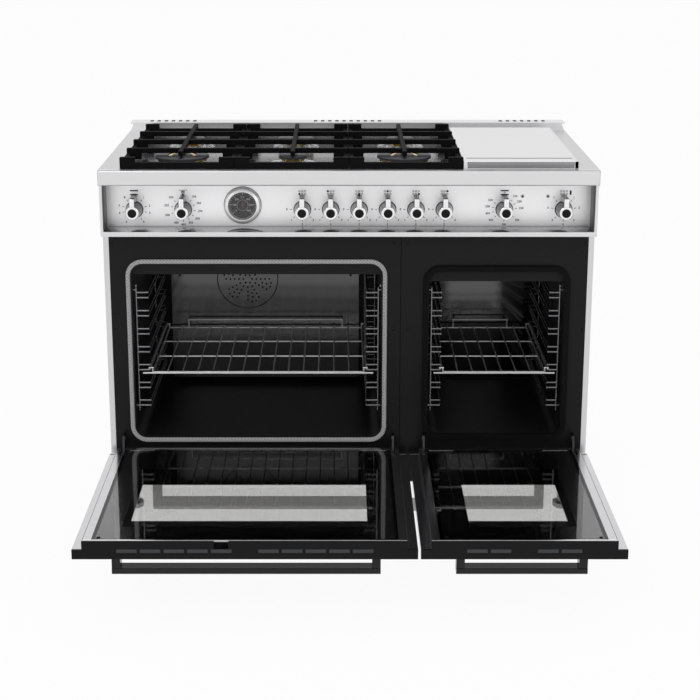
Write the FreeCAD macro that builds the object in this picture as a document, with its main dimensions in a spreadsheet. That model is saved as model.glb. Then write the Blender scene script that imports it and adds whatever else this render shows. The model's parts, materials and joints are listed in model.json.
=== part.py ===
import FreeCAD, Part
import math
import os
import re

import Sketcher
from FreeCAD import Rotation, Vector

# A free-standing gas range with six burners, a covered griddle and two ovens side by side.
# Both oven doors lie open. X runs to the right, Y to the back and Z up from the floor.
# The origin is on the floor, under the middle of the range with its doors open.

DOC = FreeCAD.newDocument("gas_range")

# Driving sizes in millimetres. Depths are measured from the front plane of the front rail.
SIZES = {
    # casing
    "half_width": 607.0,
    "body_depth": 650.0,
    "top_height": 914.0,
    "body_low": 91.0,
    "face_depth": 46.0,
    "sheet": 1.5,
    "flange": 13.5,
    "overrun": 1.0,
    "clearance": 0.3,
    "fit": 0.05,
    "rail_tall": 38.0,
    "rail_depth": 15.0,
    "rail_round": 4.0,
    "frame_front": 12.0,
    "frame_back": 96.0,
    "cheek": 7.0,
    "panel_tall": 117.8,
    "lip_tall": 11.5,
    "panel_depth": 81.5,
    "kick_half": 505.0,
    "kick_low": 8.0,
    "kick_high": 44.0,
    "kick_tab": 25.0,
    "kick_depth": 50.0,
    "inlet_x": 500.0,
    "inlet_hole": 25.0,
    "anchor_half": 200.0,
    "anchor_height": 160.0,
    "anchor_hole": 3.5,
    "louvre_long": 70.0,
    "louvre_tall": 8.0,
    "louvre_pitch": 100.0,
    "louvre_drop": 74.0,
    # levelling legs
    "leg_x": 560.0,
    "leg_front": 95.0,
    "leg_back": 600.0,
    "foot_radius": 25.0,
    "foot_thick": 12.0,
    "neck_radius": 14.0,
    "stem_radius": 8.0,
    "stem_top": 135.0,
    "boss_radius": 20.0,
    "boss_tall": 20.0,
    # cooktop, rear trim and griddle
    "trim_front": 597.0,
    "trim_rise": 22.0,
    "trim_plate": 3.0,
    "trim_lean": 9.0,
    "vent_wide": 9.0,
    "vent_long": 20.0,
    "vent_pitch": 20.0,
    "vent_inset": 32.0,
    "vent_outer": 490.0,
    "pan_left": -540.0,
    "pan_right": 262.0,
    "pan_front": 36.0,
    "pan_back": 526.0,
    "pan_drop": 16.0,
    "lid_left": 278.5,
    "lid_right": 555.5,
    "lid_front": 19.0,
    "lid_back": 533.0,
    "lid_tall": 19.0,
    "lid_groove_depth": 60.0,
    "lid_groove_wide": 3.0,
    "lid_groove_deep": 1.0,
    "lid_inset_side": 9.0,
    "lid_inset_edge": 2.0,
    "well_side": 14.0,
    "well_front": 78.0,
    "well_back": 500.0,
    "well_flange": 7.0,
    "well_edge": 2.0,
    "griddle_thick": 6.0,
    "griddle_deep": 20.0,
    # burners
    "column_pitch": 278.0,
    "column_left": -417.0,
    "row_front": 153.0,
    "row_back": 408.0,
    "cap_rise": 12.0,
    "cap_thick": 7.0,
    "ring_tall": 14.0,
    "small_cap": 35.0,
    "rapid_cap": 47.5,
    "power_cap": 67.5,
    "power_gap": 10.0,
    "power_core": 26.0,
    "cap_edge": 2.0,
    "ring_inset": 6.0,
    "ring_slot": 2.4,
    "bowl_radius": 62.0,
    "bowl_wall": 2.0,
    "bowl_rim": 4.0,
    "throat_radius": 22.0,
    "throat_deep": 48.0,
    "throat_bore": 14.0,
    # grates
    "grate_front": 19.0,
    "grate_back": 540.0,
    "grate_wide": 277.2,
    "grate_rise": 28.5,
    "grate_low": 16.0,
    "grate_bar": 13.0,
    "grate_side": 12.0,
    "grate_post": 37.0,
    "grate_deck": 12.5,
    "spine_front": 105.0,
    "spine_wide": 11.0,
    # control panel and knobs
    "knob_drop": 75.4,
    "knob_face": 32.0,
    "knob_radius": 16.5,
    "knob_skirt": 20.5,
    "knob_back": 77.0,
    "knob_bar": 13.7,
    "knob_reach": 37.0,
    "knob_round": 3.0,
    "knob_cap": 11.0,
    "knob_cap_proud": 0.8,
    "collar_radius": 22.0,
    "collar_thick": 3.5,
    "shaft_radius": 3.0,
    "shaft_deep": 103.0,
    "shaft_hole": 6.0,
    "valve_half": 11.0,
    "valve_tall": 14.0,
    "valve_long": 35.0,
    "nipple_radius": 5.0,
    "nipple_tall": 10.0,
    "manifold_inset": 47.0,
    "manifold_side": 20.0,
    "manifold_wall": 2.0,
    "inlet_radius": 10.5,
    "inlet_bore": 8.0,
    "socket_radius": 15.0,
    "socket_bore": 9.3,
    "socket_long": 20.0,
    "gauge_inset": 344.0,
    "gauge_drop": 64.5,
    "bezel_radius": 46.0,
    "bezel_bore": 35.5,
    "bezel_tall": 15.0,
    "bezel_soft": 4.0,
    "dial_thick": 3.0,
    "needle_long": 26.0,
    "needle_tail": 8.0,
    "needle_wide": 2.4,
    "needle_thick": 0.8,
    "needle_hub": 3.5,
    "needle_lift": 3.0,
    "pivot_radius": 1.5,
    "lens_thick": 2.0,
    "lens_drop": 2.0,
    "lamp_left_inset": 176.4,
    "lamp_right_inset": 113.6,
    "lamp_drop": 42.2,
    "lamp_radius": 3.0,
    "lamp_proud": 2.5,
    "lamp_deep": 14.0,
    # ovens
    "frame_split": 130.0,
    "main_left": -540.0,
    "main_right": 82.0,
    "main_low": 216.0,
    "main_high": 668.0,
    "main_back": 515.0,
    "small_left": 201.0,
    "small_right": 537.0,
    "small_low": 224.0,
    "small_high": 650.0,
    "small_back": 478.0,
    "cavity_round": 28.0,
    "lip_drop": 27.0,
    "lip_set": 8.0,
    "main_seal_gap": 3.0,
    "main_seal_wide": 11.0,
    "small_seal_gap": 1.0,
    "small_seal_wide": 14.0,
    "baffle_left": -490.0,
    "baffle_right": 31.0,
    "baffle_low": 232.0,
    "baffle_high": 640.0,
    "baffle_front": 470.0,
    "fan_x": -278.0,
    "fan_height": 518.0,
    "grille_radius": 85.0,
    "grille_groove": 2.5,
    "grille_step": 12.0,
    "grille_hole": 2.6,
    "fan_radius": 72.0,
    "fan_front": 484.0,
    "blade_deep": 20.0,
    "blade_thick": 1.5,
    "blade_long": 30.0,
    "fan_shaft": 4.0,
    "motor_radius": 38.0,
    "motor_long": 55.0,
    # oven racks and their guides
    "guide_inset": 7.0,
    "guide_front": 66.0,
    "guide_back": 446.0,
    "guide_wire": 2.5,
    "main_reach": 28.5,
    "small_reach": 24.0,
    "level_top": 591.0,
    "level_pitch": 47.5,
    "level_pair": 13.5,
    "rack_rail": 2.5,
    "rack_edge": 2.3,
    "rack_cross": 2.1,
    "rack_riser": 1.9,
    "rack_wire": 1.75,
    "rack_sink": 0.8,
    "rack_drop": 11.0,
    "rack_front": 57.0,
    "rack_back": 454.0,
    "rack_overhang": 16.0,
    "riser_inset": 7.5,
    "stop_tall": 23.0,
    "stop_inset": 62.0,
    # doors, drawn open
    "hinge_depth": 14.5,
    "hinge_height": 175.0,
    "door_rise": 560.5,
    "door_tail": 8.5,
    "door_out": 18.6,
    "door_mid": 3.4,
    "door_in": 23.5,
    "door_gap": 6.0,
    "door_split": 152.0,
    "trim_thick": 5.0,
    "inner_inset": 22.0,
    "inner_tail": 6.5,
    "glass_inset": 42.0,
    "glass_front": 5.0,
    "glass_tail": 24.0,
    "glass_thick": 4.0,
    "glass_seat": 8.0,
    "skin_wall": 2.0,
    "window_front": 377.5,
    "window_back": 152.5,
    "window_side": 105.0,
    "window_lap": 12.0,
    "slot_long": 46.0,
    "slot_tall": 9.6,
    "slot_pitch": 51.6,
    "notch_wide": 32.0,
    "handle_front": 524.5,
    "handle_deep": 32.0,
    "handle_thick": 13.6,
    "handle_stand": 39.5,
    "handle_inset": 80.5,
    "handle_post": 19.0,
    "handle_round": 2.0,
    "hinge_inset": 36.0,
    "hinge_thick": 5.0,
    "hinge_boss": 9.0,
    "hinge_pin": 4.0,
    "hinge_slack": 1.8,
    "hinge_slot": 54.0,
    "hinge_root": 20.0,
    "hinge_root_tall": 30.0,
    "knuckle_outer": 7.6,
    "knuckle_inner": 10.0,
}

# Places that follow from the driving sizes.
RULES = {
    "front": "(door_rise - hinge_depth - body_depth) / 2",
    "back": "front + body_depth",
    "face": "front + face_depth",
    "plate_front": "face + sheet",
    "plate_back": "face + 2 * sheet + overrun",
    "inner_half": "half_width - sheet",
    "rail_low": "top_height - rail_tall",
    "lip_high": "rail_low - panel_tall",
    "lip_low": "lip_high - lip_tall",
    "knob_height": "rail_low - knob_drop",
    "gauge_x": "gauge_inset - half_width",
    "gauge_height": "rail_low - gauge_drop",
    "lamp_left": "half_width - lamp_left_inset",
    "lamp_right": "half_width - lamp_right_inset",
    "lamp_height": "rail_low - lamp_drop",
    "louvre_height": "top_height - louvre_drop",
    "manifold_half": "half_width - manifold_inset",
    "panel_face": "front + panel_depth",
    "panel_back": "panel_face + sheet",
    "deck_low": "top_height - sheet",
    "pan_floor": "top_height - pan_drop",
    "lid_top": "top_height + lid_tall",
    "trim_top": "top_height + trim_rise",
    "vent_depth": "trim_front + vent_inset",
    "cap_top": "top_height + cap_rise",
    "throat_low": "top_height - throat_deep",
    "grate_top": "top_height + grate_rise",
    "hinge_y": "front + hinge_depth",
    "door_front": "hinge_y - door_rise",
    "skin_front": "door_front + trim_thick",
    "skin_back": "hinge_y + door_tail",
    "skin_low": "hinge_height - door_out",
    "skin_high": "hinge_height + door_mid",
    "glass_top": "hinge_height + door_in",
    "glass_low": "glass_top - glass_thick",
    "inner_back": "hinge_y - inner_tail",
    "glass_edge": "skin_front + glass_front",
    "seal_front": "hinge_y + door_in + clearance",
    "valve_back": "panel_back + valve_long",
    "ring_low": "cap_top - cap_thick - ring_tall",
    "dial_face": "panel_face - dial_thick",
    "stem_hole": "stem_radius + 2 * fit",
}


def formula(text):
    """Write out a formula: a rule's name becomes the rule, a size's name its cell in the sheet."""

    def named(match):
        word = match.group()
        if word in RULES:
            return "(" + formula(RULES[word]) + ")"
        return "Sizes." + word if word in SIZES else word

    return re.sub(r"[a-z][a-z_0-9]*", named, str(text))


def number(text):
    """The value of a formula, for loops that need to count or turn."""
    names = {word: value for word, value in SIZES.items()}
    plain = formula(text).replace("Sizes.", "")
    numbers = re.sub(r"[a-z][a-z_0-9]*", lambda word: str(names[word.group()]), plain)
    return float(FreeCAD.Units.Quantity(numbers))


def fill_sheet():
    """Put every driving size in the spreadsheet under its own alias."""
    sheet = DOC.addObject("Spreadsheet::Sheet", "Sizes")
    for row, (alias, value) in enumerate(SIZES.items(), start=1):
        sheet.set(f"A{row}", alias)
        sheet.set(f"B{row}", str(value))
        sheet.setAlias(f"B{row}", alias)
    DOC.recompute()


def bind(thing, **formulas):
    """Bind properties of an object to formulas."""
    for name, text in formulas.items():
        thing.setExpression(name, formula(text))
    return thing


def place(thing, x=0, y=0, z=0):
    """Bind an object's place to formulas."""
    for axis, text in zip("xyz", (x, y, z)):
        thing.setExpression(f"Placement.Base.{axis}", formula(text))
    return thing


def block(label, low, high):
    """A block between its low and its high corner."""
    box = DOC.addObject("Part::Box", label)
    sides = [f"({b}) - ({a})" for a, b in zip(low, high)]
    bind(box, Length=sides[0], Width=sides[1], Height=sides[2])
    return place(box, *low)


TURNS = {
    "x": Rotation(Vector(0, 1, 0), 90),
    "y": Rotation(Vector(1, 0, 0), -90),
    "z": Rotation(),
}


def along(axis, across, start):
    """The three coordinates of a point on an axis line, from the two across it and the one along it."""
    point = list(across)
    point.insert("xyz".index(axis), start)
    return point


def rod(label, axis, across, ends, radius):
    """A round bar along an axis, between two ends."""
    bar = DOC.addObject("Part::Cylinder", label)
    bar.Placement.Rotation = TURNS[axis]
    bind(bar, Radius=radius, Height=f"({ends[1]}) - ({ends[0]})")
    return place(bar, *along(axis, across, ends[0]))


def cone(label, axis, across, ends, radii):
    """A round bar that changes its radius from its low end to its high end."""
    bar = DOC.addObject("Part::Cone", label)
    bar.Placement.Rotation = TURNS[axis]
    bind(bar, Radius1=radii[0], Radius2=radii[1], Height=f"({ends[1]}) - ({ends[0]})")
    return place(bar, *along(axis, across, ends[0]))


def fuse(label, pieces):
    """One solid out of pieces that overlap or touch."""
    whole = DOC.addObject("Part::MultiFuse", label)
    whole.Shapes = pieces
    whole.Refine = True
    return whole


def group(label, pieces):
    """Separate solids of one kind that share a node."""
    whole = DOC.addObject("Part::Compound", label)
    whole.Links = pieces
    return whole


def cut(label, base, tools):
    """A base with tools taken out of it."""
    rest = DOC.addObject("Part::Cut", label)
    rest.Base = base
    rest.Tool = tools[0] if len(tools) == 1 else fuse(label + "_cuts", tools)
    rest.Refine = True
    return rest


def plane_of(body, role):
    """One of a body's own origin planes or axes."""
    return next(part for part in body.Origin.OriginFeatures if part.Role == role)


def sketch_outline(body, role, points):
    """A closed outline of straight lines whose corners are formulas."""
    sketch = body.newObject("Sketcher::SketchObject", body.Label + "_outline")
    sketch.AttachmentSupport = (plane_of(body, role), [""])
    sketch.MapMode = "FlatFace"
    spots = [Vector(number(x), number(y), 0) for x, y in points]
    for here, there in zip(spots, spots[1:] + spots[:1]):
        sketch.addGeometry(Part.LineSegment(here, there))
    for at in range(len(points)):
        sketch.addConstraint(Sketcher.Constraint("Coincident", at, 2, (at + 1) % len(points), 1))
    for at, (x, y) in enumerate(points):
        for kind, text in (("DistanceX", x), ("DistanceY", y)):
            spot = sketch.addConstraint(Sketcher.Constraint(kind, -1, 1, at, 1, number(text)))
            sketch.setExpression(f"Constraints[{spot}]", formula(text))
    return sketch


PLANES = {"x": "YZ_Plane", "y": "XZ_Plane", "z": "XY_Plane"}


def padded(label, axis, points, ends):
    """A straight-sided solid: an outline across an axis, drawn out between two ends."""
    body = DOC.addObject("PartDesign::Body", label)
    sketch = sketch_outline(body, PLANES[axis], points)
    pad = body.newObject("PartDesign::Pad", label + "_pad")
    pad.Profile = sketch
    pad.Reversed = axis == "y"
    bind(pad, Length=f"({ends[1]}) - ({ends[0]})")
    place(body, **{axis: ends[0]})
    body.Tip = pad
    return body


def rounded(label, axis, low, high, radius, pick=None):
    """A block whose edges along an axis are rounded, or only those that pick chooses."""
    at = "xyz".index(axis)
    lows = [text for i, text in enumerate(low) if i != at]
    highs = [text for i, text in enumerate(high) if i != at]
    points = [(lows[0], lows[1]), (highs[0], lows[1]), (highs[0], highs[1]), (lows[0], highs[1])]
    body = padded(label, axis, points, (low[at], high[at]))
    DOC.recompute([body.Tip, body])
    pad = body.Tip
    chosen = []
    for count, edge in enumerate(pad.Shape.Edges, start=1):
        run = edge.Vertexes[-1].Point - edge.Vertexes[0].Point
        if abs(run[at]) > 0.99 * run.Length and (pick is None or pick(edge.CenterOfMass)):
            chosen.append(f"Edge{count}")
    fillet = body.newObject("PartDesign::Fillet", label + "_round")
    fillet.Base = (pad, chosen)
    bind(fillet, Radius=radius)
    body.Tip = fillet
    return body


def turned(label, points, centre, axis="z"):
    """A turned solid: an outline of radius and height, spun about an axis through centre."""
    body = DOC.addObject("PartDesign::Body", label)
    sketch = sketch_outline(body, "XZ_Plane", points)
    spin = body.newObject("PartDesign::Revolution", label + "_spin")
    spin.Profile = sketch
    spin.ReferenceAxis = (sketch, ["V_Axis"])
    spin.Angle = 360
    body.Tip = spin
    body.Placement.Rotation = TURNS[axis]
    return place(body, *centre)


def side_panels():
    """Two outer side sheets, each with a flange that shows beside the oven doors."""
    outline = [
        ("face", "body_low"),
        ("back", "body_low"),
        ("back", "deck_low"),
        ("front + frame_back", "deck_low"),
        ("front + frame_back", "lip_low"),
        ("face", "lip_low"),
    ]
    left = padded("side_left_sheet", "x", outline, ("-half_width", "-inner_half"))
    right = padded("side_right_sheet", "x", outline, ("inner_half", "half_width"))
    low_left = ("-inner_half", "face", "body_low")
    high_left = ("-half_width + flange", "plate_front", "lip_low")
    low_right = ("half_width - flange", "face", "body_low")
    high_right = ("inner_half", "plate_front", "lip_low")
    return group("side_panels", [
        fuse("side_left", [left, block("side_left_flange", low_left, high_left)]),
        fuse("side_right", [right, block("side_right_flange", low_right, high_right)]),
    ])


def rear_panel():
    """The back sheet, with louvres, two anchor holes and the hole for the gas inlet."""
    ends = ("back - sheet - overrun", "back + overrun")
    sheet = block(
        "rear_sheet",
        ("-inner_half", "back - sheet", "body_low"),
        ("inner_half", "back", "deck_low"),
    )
    holes = [rod("rear_inlet_hole", "y", ("inlet_x", "knob_height"), ends, "inlet_hole")]
    for side in (-1, 1):
        spot = (f"{side} * anchor_half", "anchor_height")
        holes.append(rod(f"rear_anchor_hole_{side + 2}", "y", spot, ends, "anchor_hole"))
    for at in range(-3, 4):
        middle = f"{at} * louvre_pitch"
        holes.append(block(
            f"rear_louvre_{at + 4}",
            (f"{middle} - louvre_long / 2", ends[0], "louvre_height - louvre_tall / 2"),
            (f"{middle} + louvre_long / 2", ends[1], "louvre_height + louvre_tall / 2"),
        ))
    return cut("rear_panel", sheet, holes)


def leg_places():
    """Left or right, and front or back, of the four legs."""
    depths = ("leg_front", "leg_back")
    return [(f"{side} * leg_x", f"front + {depth}") for depth in depths for side in (-1, 1)]


def base_tray():
    """The floor of the casing, with a threaded boss over each leg."""
    tray = [block(
        "base_sheet",
        ("-inner_half", "plate_back", "body_low"),
        ("inner_half", "back - sheet", "body_low + sheet"),
    )]
    holes = []
    for at, spot in enumerate(leg_places(), start=1):
        rise = ("body_low", "body_low + boss_tall")
        tray.append(rod(f"base_boss_{at}", "z", spot, rise, "boss_radius"))
        ends = ("body_low - overrun", "body_low + boss_tall + overrun")
        holes.append(rod(f"base_hole_{at}", "z", spot, ends, "stem_hole"))
    return cut("base_tray", fuse("base_blank", tray), holes)


def kick_plate():
    """The low plate at the front, hung from the base by two tabs."""
    pieces = [block(
        "kick_sheet",
        ("-kick_half", "front + kick_depth", "kick_low"),
        ("kick_half", "front + kick_depth + sheet", "kick_high"),
    )]
    for name, low, high in (("left", "-kick_half", "-kick_half + kick_tab"),
                            ("right", "kick_half - kick_tab", "kick_half")):
        pieces.append(block(
            f"kick_tab_{name}",
            (low, "front + kick_depth", "kick_high"),
            (high, "front + kick_depth + sheet", "body_low"),
        ))
    return fuse("kick_plate", pieces)


def levelling_legs():
    """Four legs, each with a round foot, a neck and a screwed stem."""
    outline = [
        (0, 0),
        ("foot_radius - overrun", 0),
        ("foot_radius", "overrun"),
        ("foot_radius", "foot_thick"),
        ("neck_radius", "foot_thick"),
        ("neck_radius", "body_low"),
        ("stem_radius", "body_low"),
        ("stem_radius", "stem_top"),
        (0, "stem_top"),
    ]
    return group("levelling_legs", [
        turned(f"leg_{at}", outline, (*spot, 0)) for at, spot in enumerate(leg_places(), start=1)
    ])


def front_rail():
    """The stainless rail across the front of the cooktop, a channel with closed ends."""
    shell = rounded(
        "rail_shell", "x",
        ("-half_width", "front", "rail_low"),
        ("half_width", "front + rail_depth", "top_height"),
        "rail_round",
        lambda spot: spot.y < number("front") + number("rail_depth") / 2,
    )
    hollow = block(
        "rail_hollow",
        ("-inner_half", "front + sheet", "rail_low + sheet"),
        ("inner_half", "front + rail_depth + overrun", "deck_low"),
    )
    shelf = block(
        "rail_shelf",
        ("-inner_half", "front + rail_depth", "rail_low"),
        ("inner_half", "front + frame_back", "rail_low + sheet"),
    )
    return fuse("front_rail", [cut("rail_channel", shell, [hollow]), shelf])


def cooktop():
    """The top sheet with its sunk pan, the holes for six burners and the griddle's well."""
    plate = block(
        "deck_plate",
        ("-half_width", "front + rail_depth", "deck_low"),
        ("half_width", "front + trim_front", "top_height"),
    )
    pan = block(
        "pan_box",
        ("pan_left - sheet", "front + pan_front - sheet", "pan_floor - sheet"),
        ("pan_right + sheet", "front + pan_back + sheet", "top_height"),
    )
    tools = [
        block(
            "pan_hollow",
            ("pan_left", "front + pan_front", "pan_floor"),
            ("pan_right", "front + pan_back", "top_height + overrun"),
        ),
        block(
            "griddle_well",
            ("lid_left + well_side", "front + well_front", "deck_low - overrun"),
            ("lid_right - well_side", "front + well_back", "top_height + overrun"),
        ),
    ]
    for name, x, y in burner_places():
        ends = ("pan_floor - sheet - overrun", "pan_floor + overrun")
        tools.append(rod(f"hole_{name}", "z", (x, y), ends, "throat_radius"))
    return cut("cooktop", fuse("deck_blank", [plate, pan]), tools)


def rear_trim():
    """The raised trim behind the cooktop, with vent slots in its top."""
    ends = ("front + trim_front", "back")
    inner = ("front + trim_front + sheet", "back - sheet")

    def section(label, inset, low, high, reach):
        slope = [
            (f"-half_width + {inset}", low),
            (f"half_width - {inset}", low),
            (f"half_width - {inset} - trim_lean", high),
            (f"-half_width + {inset} + trim_lean", high),
        ]
        return padded(label, "y", slope, reach)

    riser = section("trim_riser", "0", "deck_low", "trim_top - trim_plate", ends)
    hollow = section("trim_hollow", "sheet", "deck_low", "trim_top - trim_plate", inner)
    plate = block(
        "trim_sheet",
        ("-half_width", ends[0], "trim_top - trim_plate"),
        ("half_width", ends[1], "trim_top"),
    )
    places = [f"({at} - 4.5) * vent_pitch" for at in range(10)]
    for side in (-1, 1):
        places += [f"{side} * (vent_outer + {at} * vent_pitch)" for at in range(-3, 4)]
    slots = [
        block(
            f"trim_vent_{at}",
            (
                f"{x} - vent_wide / 2",
                "front + vent_depth - vent_long / 2",
                "trim_top - trim_plate - overrun",
            ),
            (f"{x} + vent_wide / 2", "front + vent_depth + vent_long / 2", "trim_top + overrun"),
        )
        for at, x in enumerate(places, start=1)
    ]
    walls = cut("trim_walls", riser, [hollow])
    return cut("rear_trim", fuse("trim_blank", [walls, plate]), slots)


def burner_places():
    """Name, X and Y of the six burners."""
    columns = ("left", "middle", "right")
    return [
        (f"{column}_{row}", f"column_left + {at} * column_pitch", f"front + row_{row}")
        for row in ("front", "back")
        for at, column in enumerate(columns)
    ]


SMALL, RAPID, POWER = "small_cap", "rapid_cap", "power_cap"
BURNER_KINDS = {
    "left_front": POWER,
    "middle_front": SMALL,
    "right_front": POWER,
    "left_back": SMALL,
    "middle_back": RAPID,
    "right_back": SMALL,
}


def burner_bases():
    """A spill bowl with its throat under each burner."""
    outline = [
        ("throat_bore", "throat_low"),
        ("throat_radius - clearance", "throat_low"),
        ("throat_radius - clearance", "pan_floor"),
        ("bowl_radius - bowl_rim", "pan_floor"),
        ("bowl_radius", "pan_floor + bowl_rim"),
        ("bowl_radius - bowl_wall", "pan_floor + bowl_rim"),
        ("bowl_radius - bowl_rim - bowl_wall", "pan_floor + bowl_wall"),
        ("throat_radius", "pan_floor + bowl_wall"),
        ("throat_radius", "ring_low"),
        ("throat_bore", "ring_low"),
    ]
    return group("burner_bases", [
        turned(f"base_{name}", outline, (x, y, 0)) for name, x, y in burner_places()
    ])


def burner_rings():
    """The brass flame ring under each cap, slotted for the flames."""
    rings = []
    for name, x, y in burner_places():
        rim = f"{BURNER_KINDS[name]} - ring_inset"
        outline = [
            ("throat_bore", "ring_low"),
            ("throat_radius", "ring_low"),
            (rim, "ring_low + ring_tall / 2"),
            (rim, "cap_top - cap_thick"),
            ("throat_bore", "cap_top - cap_thick"),
        ]
        ring = turned(f"ring_blank_{name}", outline, (x, y, 0))
        count = 24 if BURNER_KINDS[name] == POWER else 16
        slots = []
        for at in range(count):
            turn = at * 360 / count
            slot = block(
                f"ring_slot_{name}_{at + 1}",
                (0, "-ring_slot / 2", "cap_top - cap_thick - ring_tall / 4"),
                (f"{rim} + overrun", "ring_slot / 2", "cap_top - cap_thick + overrun"),
            )
            slots.append(spin_about(slot, turn, x, y))
        rings.append(cut(f"ring_{name}", ring, [cut(f"slots_{name}", group(f"slot_set_{name}", slots), [
            rod(
                f"ring_core_{name}", "z", (x, y),
                ("ring_low", "cap_top + overrun"), f"{rim} - 2 * ring_inset",
            ),
        ])]))
    return group("burner_rings", rings)


def spin_about(box, degrees, x, y):
    """Turn a block that starts at the middle of a burner about that burner's upright axis."""
    box.Placement.Rotation = Rotation(Vector(0, 0, 1), degrees)
    turn = math.radians(degrees)
    shift = "ring_slot / 2"
    box.setExpression("Placement.Base.x", formula(f"{x} + {shift} * {math.sin(turn)}"))
    box.setExpression("Placement.Base.y", formula(f"{y} - {shift} * {math.cos(turn)}"))
    return box


def cap_outline(radius):
    """Half of a cap's section, with a softened upper edge."""
    return [
        (0, "cap_top - cap_thick"),
        (radius, "cap_top - cap_thick"),
        (radius, "cap_top - cap_edge"),
        (f"{radius} - cap_edge", "cap_top"),
        (0, "cap_top"),
    ]


def burner_caps():
    """The loose cast lids of the burners: three small, one larger and two wide ones in two rings."""
    wide_outline = [
        ("power_core + power_gap", "cap_top - cap_thick"),
        ("power_cap", "cap_top - cap_thick"),
        ("power_cap", "cap_top - cap_edge"),
        ("power_cap - cap_edge", "cap_top"),
        ("power_core + power_gap", "cap_top"),
    ]
    small, wide, rapid = [], [], None
    for name, x, y in burner_places():
        kind = BURNER_KINDS[name]
        if kind == POWER:
            wide.append(turned(f"cap_{name}_outer", wide_outline, (x, y, 0)))
            wide.append(turned(f"cap_{name}_core", cap_outline("power_core"), (x, y, 0)))
        elif kind == SMALL:
            small.append(turned(f"cap_{name}", cap_outline(SMALL), (x, y, 0)))
        else:
            rapid = turned("rapid_burner_cap", cap_outline(RAPID), (x, y, 0))
    return [group("small_burner_caps", small), rapid, group("power_burner_caps", wide)]


def grate(name, at):
    """One cast grate: low rails, tall posts, a raised deck of three bars and a spine."""
    left = f"column_left + {at} * column_pitch - grate_wide / 2"
    right = f"column_left + {at} * column_pitch + grate_wide / 2"
    middle = f"column_left + {at} * column_pitch"
    front, back = "front + grate_front", "front + grate_back"
    low, top = "top_height", "grate_top"
    rail_top, deck_low = "top_height + grate_low", "grate_top - grate_deck"
    pieces = []

    def add(suffix, low_corner, high_corner):
        pieces.append(block(f"grate_{name}_{suffix}", low_corner, high_corner))

    add("rail_front", (left, front, low), (right, f"{front} + grate_bar", rail_top))
    add("rail_back", (left, f"{back} - grate_bar", low), (right, back, rail_top))
    add("rail_left", (left, front, low), (f"{left} + grate_side", back, rail_top))
    add("rail_right", (f"{right} - grate_side", front, low), (right, back, rail_top))
    rows = {
        "front": (front, f"{front} + grate_bar"),
        "first": ("front + row_front - grate_bar / 2", "front + row_front + grate_bar / 2"),
        "centre": (
            "front + (row_front + row_back - grate_bar) / 2",
            "front + (row_front + row_back + grate_bar) / 2",
        ),
        "second": ("front + row_back - grate_bar / 2", "front + row_back + grate_bar / 2"),
        "back": (f"{back} - grate_bar", back),
    }
    for row, (near, far) in rows.items():
        add(f"post_left_{row}", (left, near, low), (f"{left} + grate_post", far, top))
        add(f"post_right_{row}", (f"{right} - grate_post", near, low), (right, far, top))
        if row in ("first", "centre", "second"):
            add(f"bar_{row}", (left, near, deck_low), (right, far, top))
    add("spine", (f"{middle} - spine_wide / 2", "front + spine_front", deck_low),
        (f"{middle} + spine_wide / 2", back, top))
    add("spine_foot", (f"{middle} - spine_wide / 2", f"{back} - grate_bar", low),
        (f"{middle} + spine_wide / 2", back, top))
    hollows = [
        block(
            f"grate_{name}_under_{row}",
            (f"{left} + grate_post", f"{near} - overrun", low),
            (f"{right} - grate_post", f"{far} + overrun", deck_low),
        )
        for row, (near, far) in rows.items()
        if row in ("first", "centre", "second")
    ]
    unders = group(f"grate_{name}_unders", hollows)
    return cut(f"{name}_grate", fuse(f"grate_{name}_blank", pieces), [unders])


def griddle():
    """The griddle plate in its well, and the stainless lid over it."""
    flange = block(
        "griddle_flange",
        ("lid_left + well_side - well_flange", "front + well_front - well_flange", "top_height"),
        (
            "lid_right - well_side + well_flange",
            "front + well_back + well_flange",
            "top_height + well_edge",
        ),
    )
    tray = block(
        "griddle_tray",
        (
            "lid_left + well_side + clearance",
            "front + well_front + clearance",
            "top_height - griddle_deep",
        ),
        ("lid_right - well_side - clearance", "front + well_back - clearance", "top_height"),
    )
    hollow = block(
        "griddle_hollow",
        ("lid_left + well_side + griddle_thick", "front + well_front + griddle_thick",
         "top_height - griddle_deep + griddle_thick"),
        ("lid_right - well_side - griddle_thick", "front + well_back - griddle_thick",
         "top_height + well_edge + overrun"),
    )
    plate = cut("griddle_plate", fuse("griddle_blank", [flange, tray]), [hollow])
    shell = rounded(
        "lid_shell", "x",
        ("lid_left", "front + lid_front", "top_height"),
        ("lid_right", "front + lid_back", "lid_top"),
        "lid_inset_edge",
        lambda spot: spot.z > number("top_height") + number("lid_tall") / 2,
    )
    tools = [
        block(
            "lid_hollow",
            ("lid_left + 2 * sheet", "front + lid_front + 2 * sheet", "top_height - overrun"),
            ("lid_right - 2 * sheet", "front + lid_back - 2 * sheet", "lid_top - 2 * sheet"),
        ),
        block(
            "lid_groove",
            ("lid_left + lid_inset_side", "front + lid_groove_depth", "lid_top - lid_groove_deep"),
            (
                "lid_right - lid_inset_side",
                "front + lid_groove_depth + lid_groove_wide",
                "lid_top + overrun",
            ),
        ),
        block(
            "lid_inset",
            ("lid_left + lid_inset_side", "front + lid_front - overrun", "top_height + lid_inset_edge"),
            ("lid_right - lid_inset_side", "front + lid_front + sheet", "lid_top - lid_inset_edge"),
        ),
    ]
    return [plate, cut("griddle_lid", shell, tools)]


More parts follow.
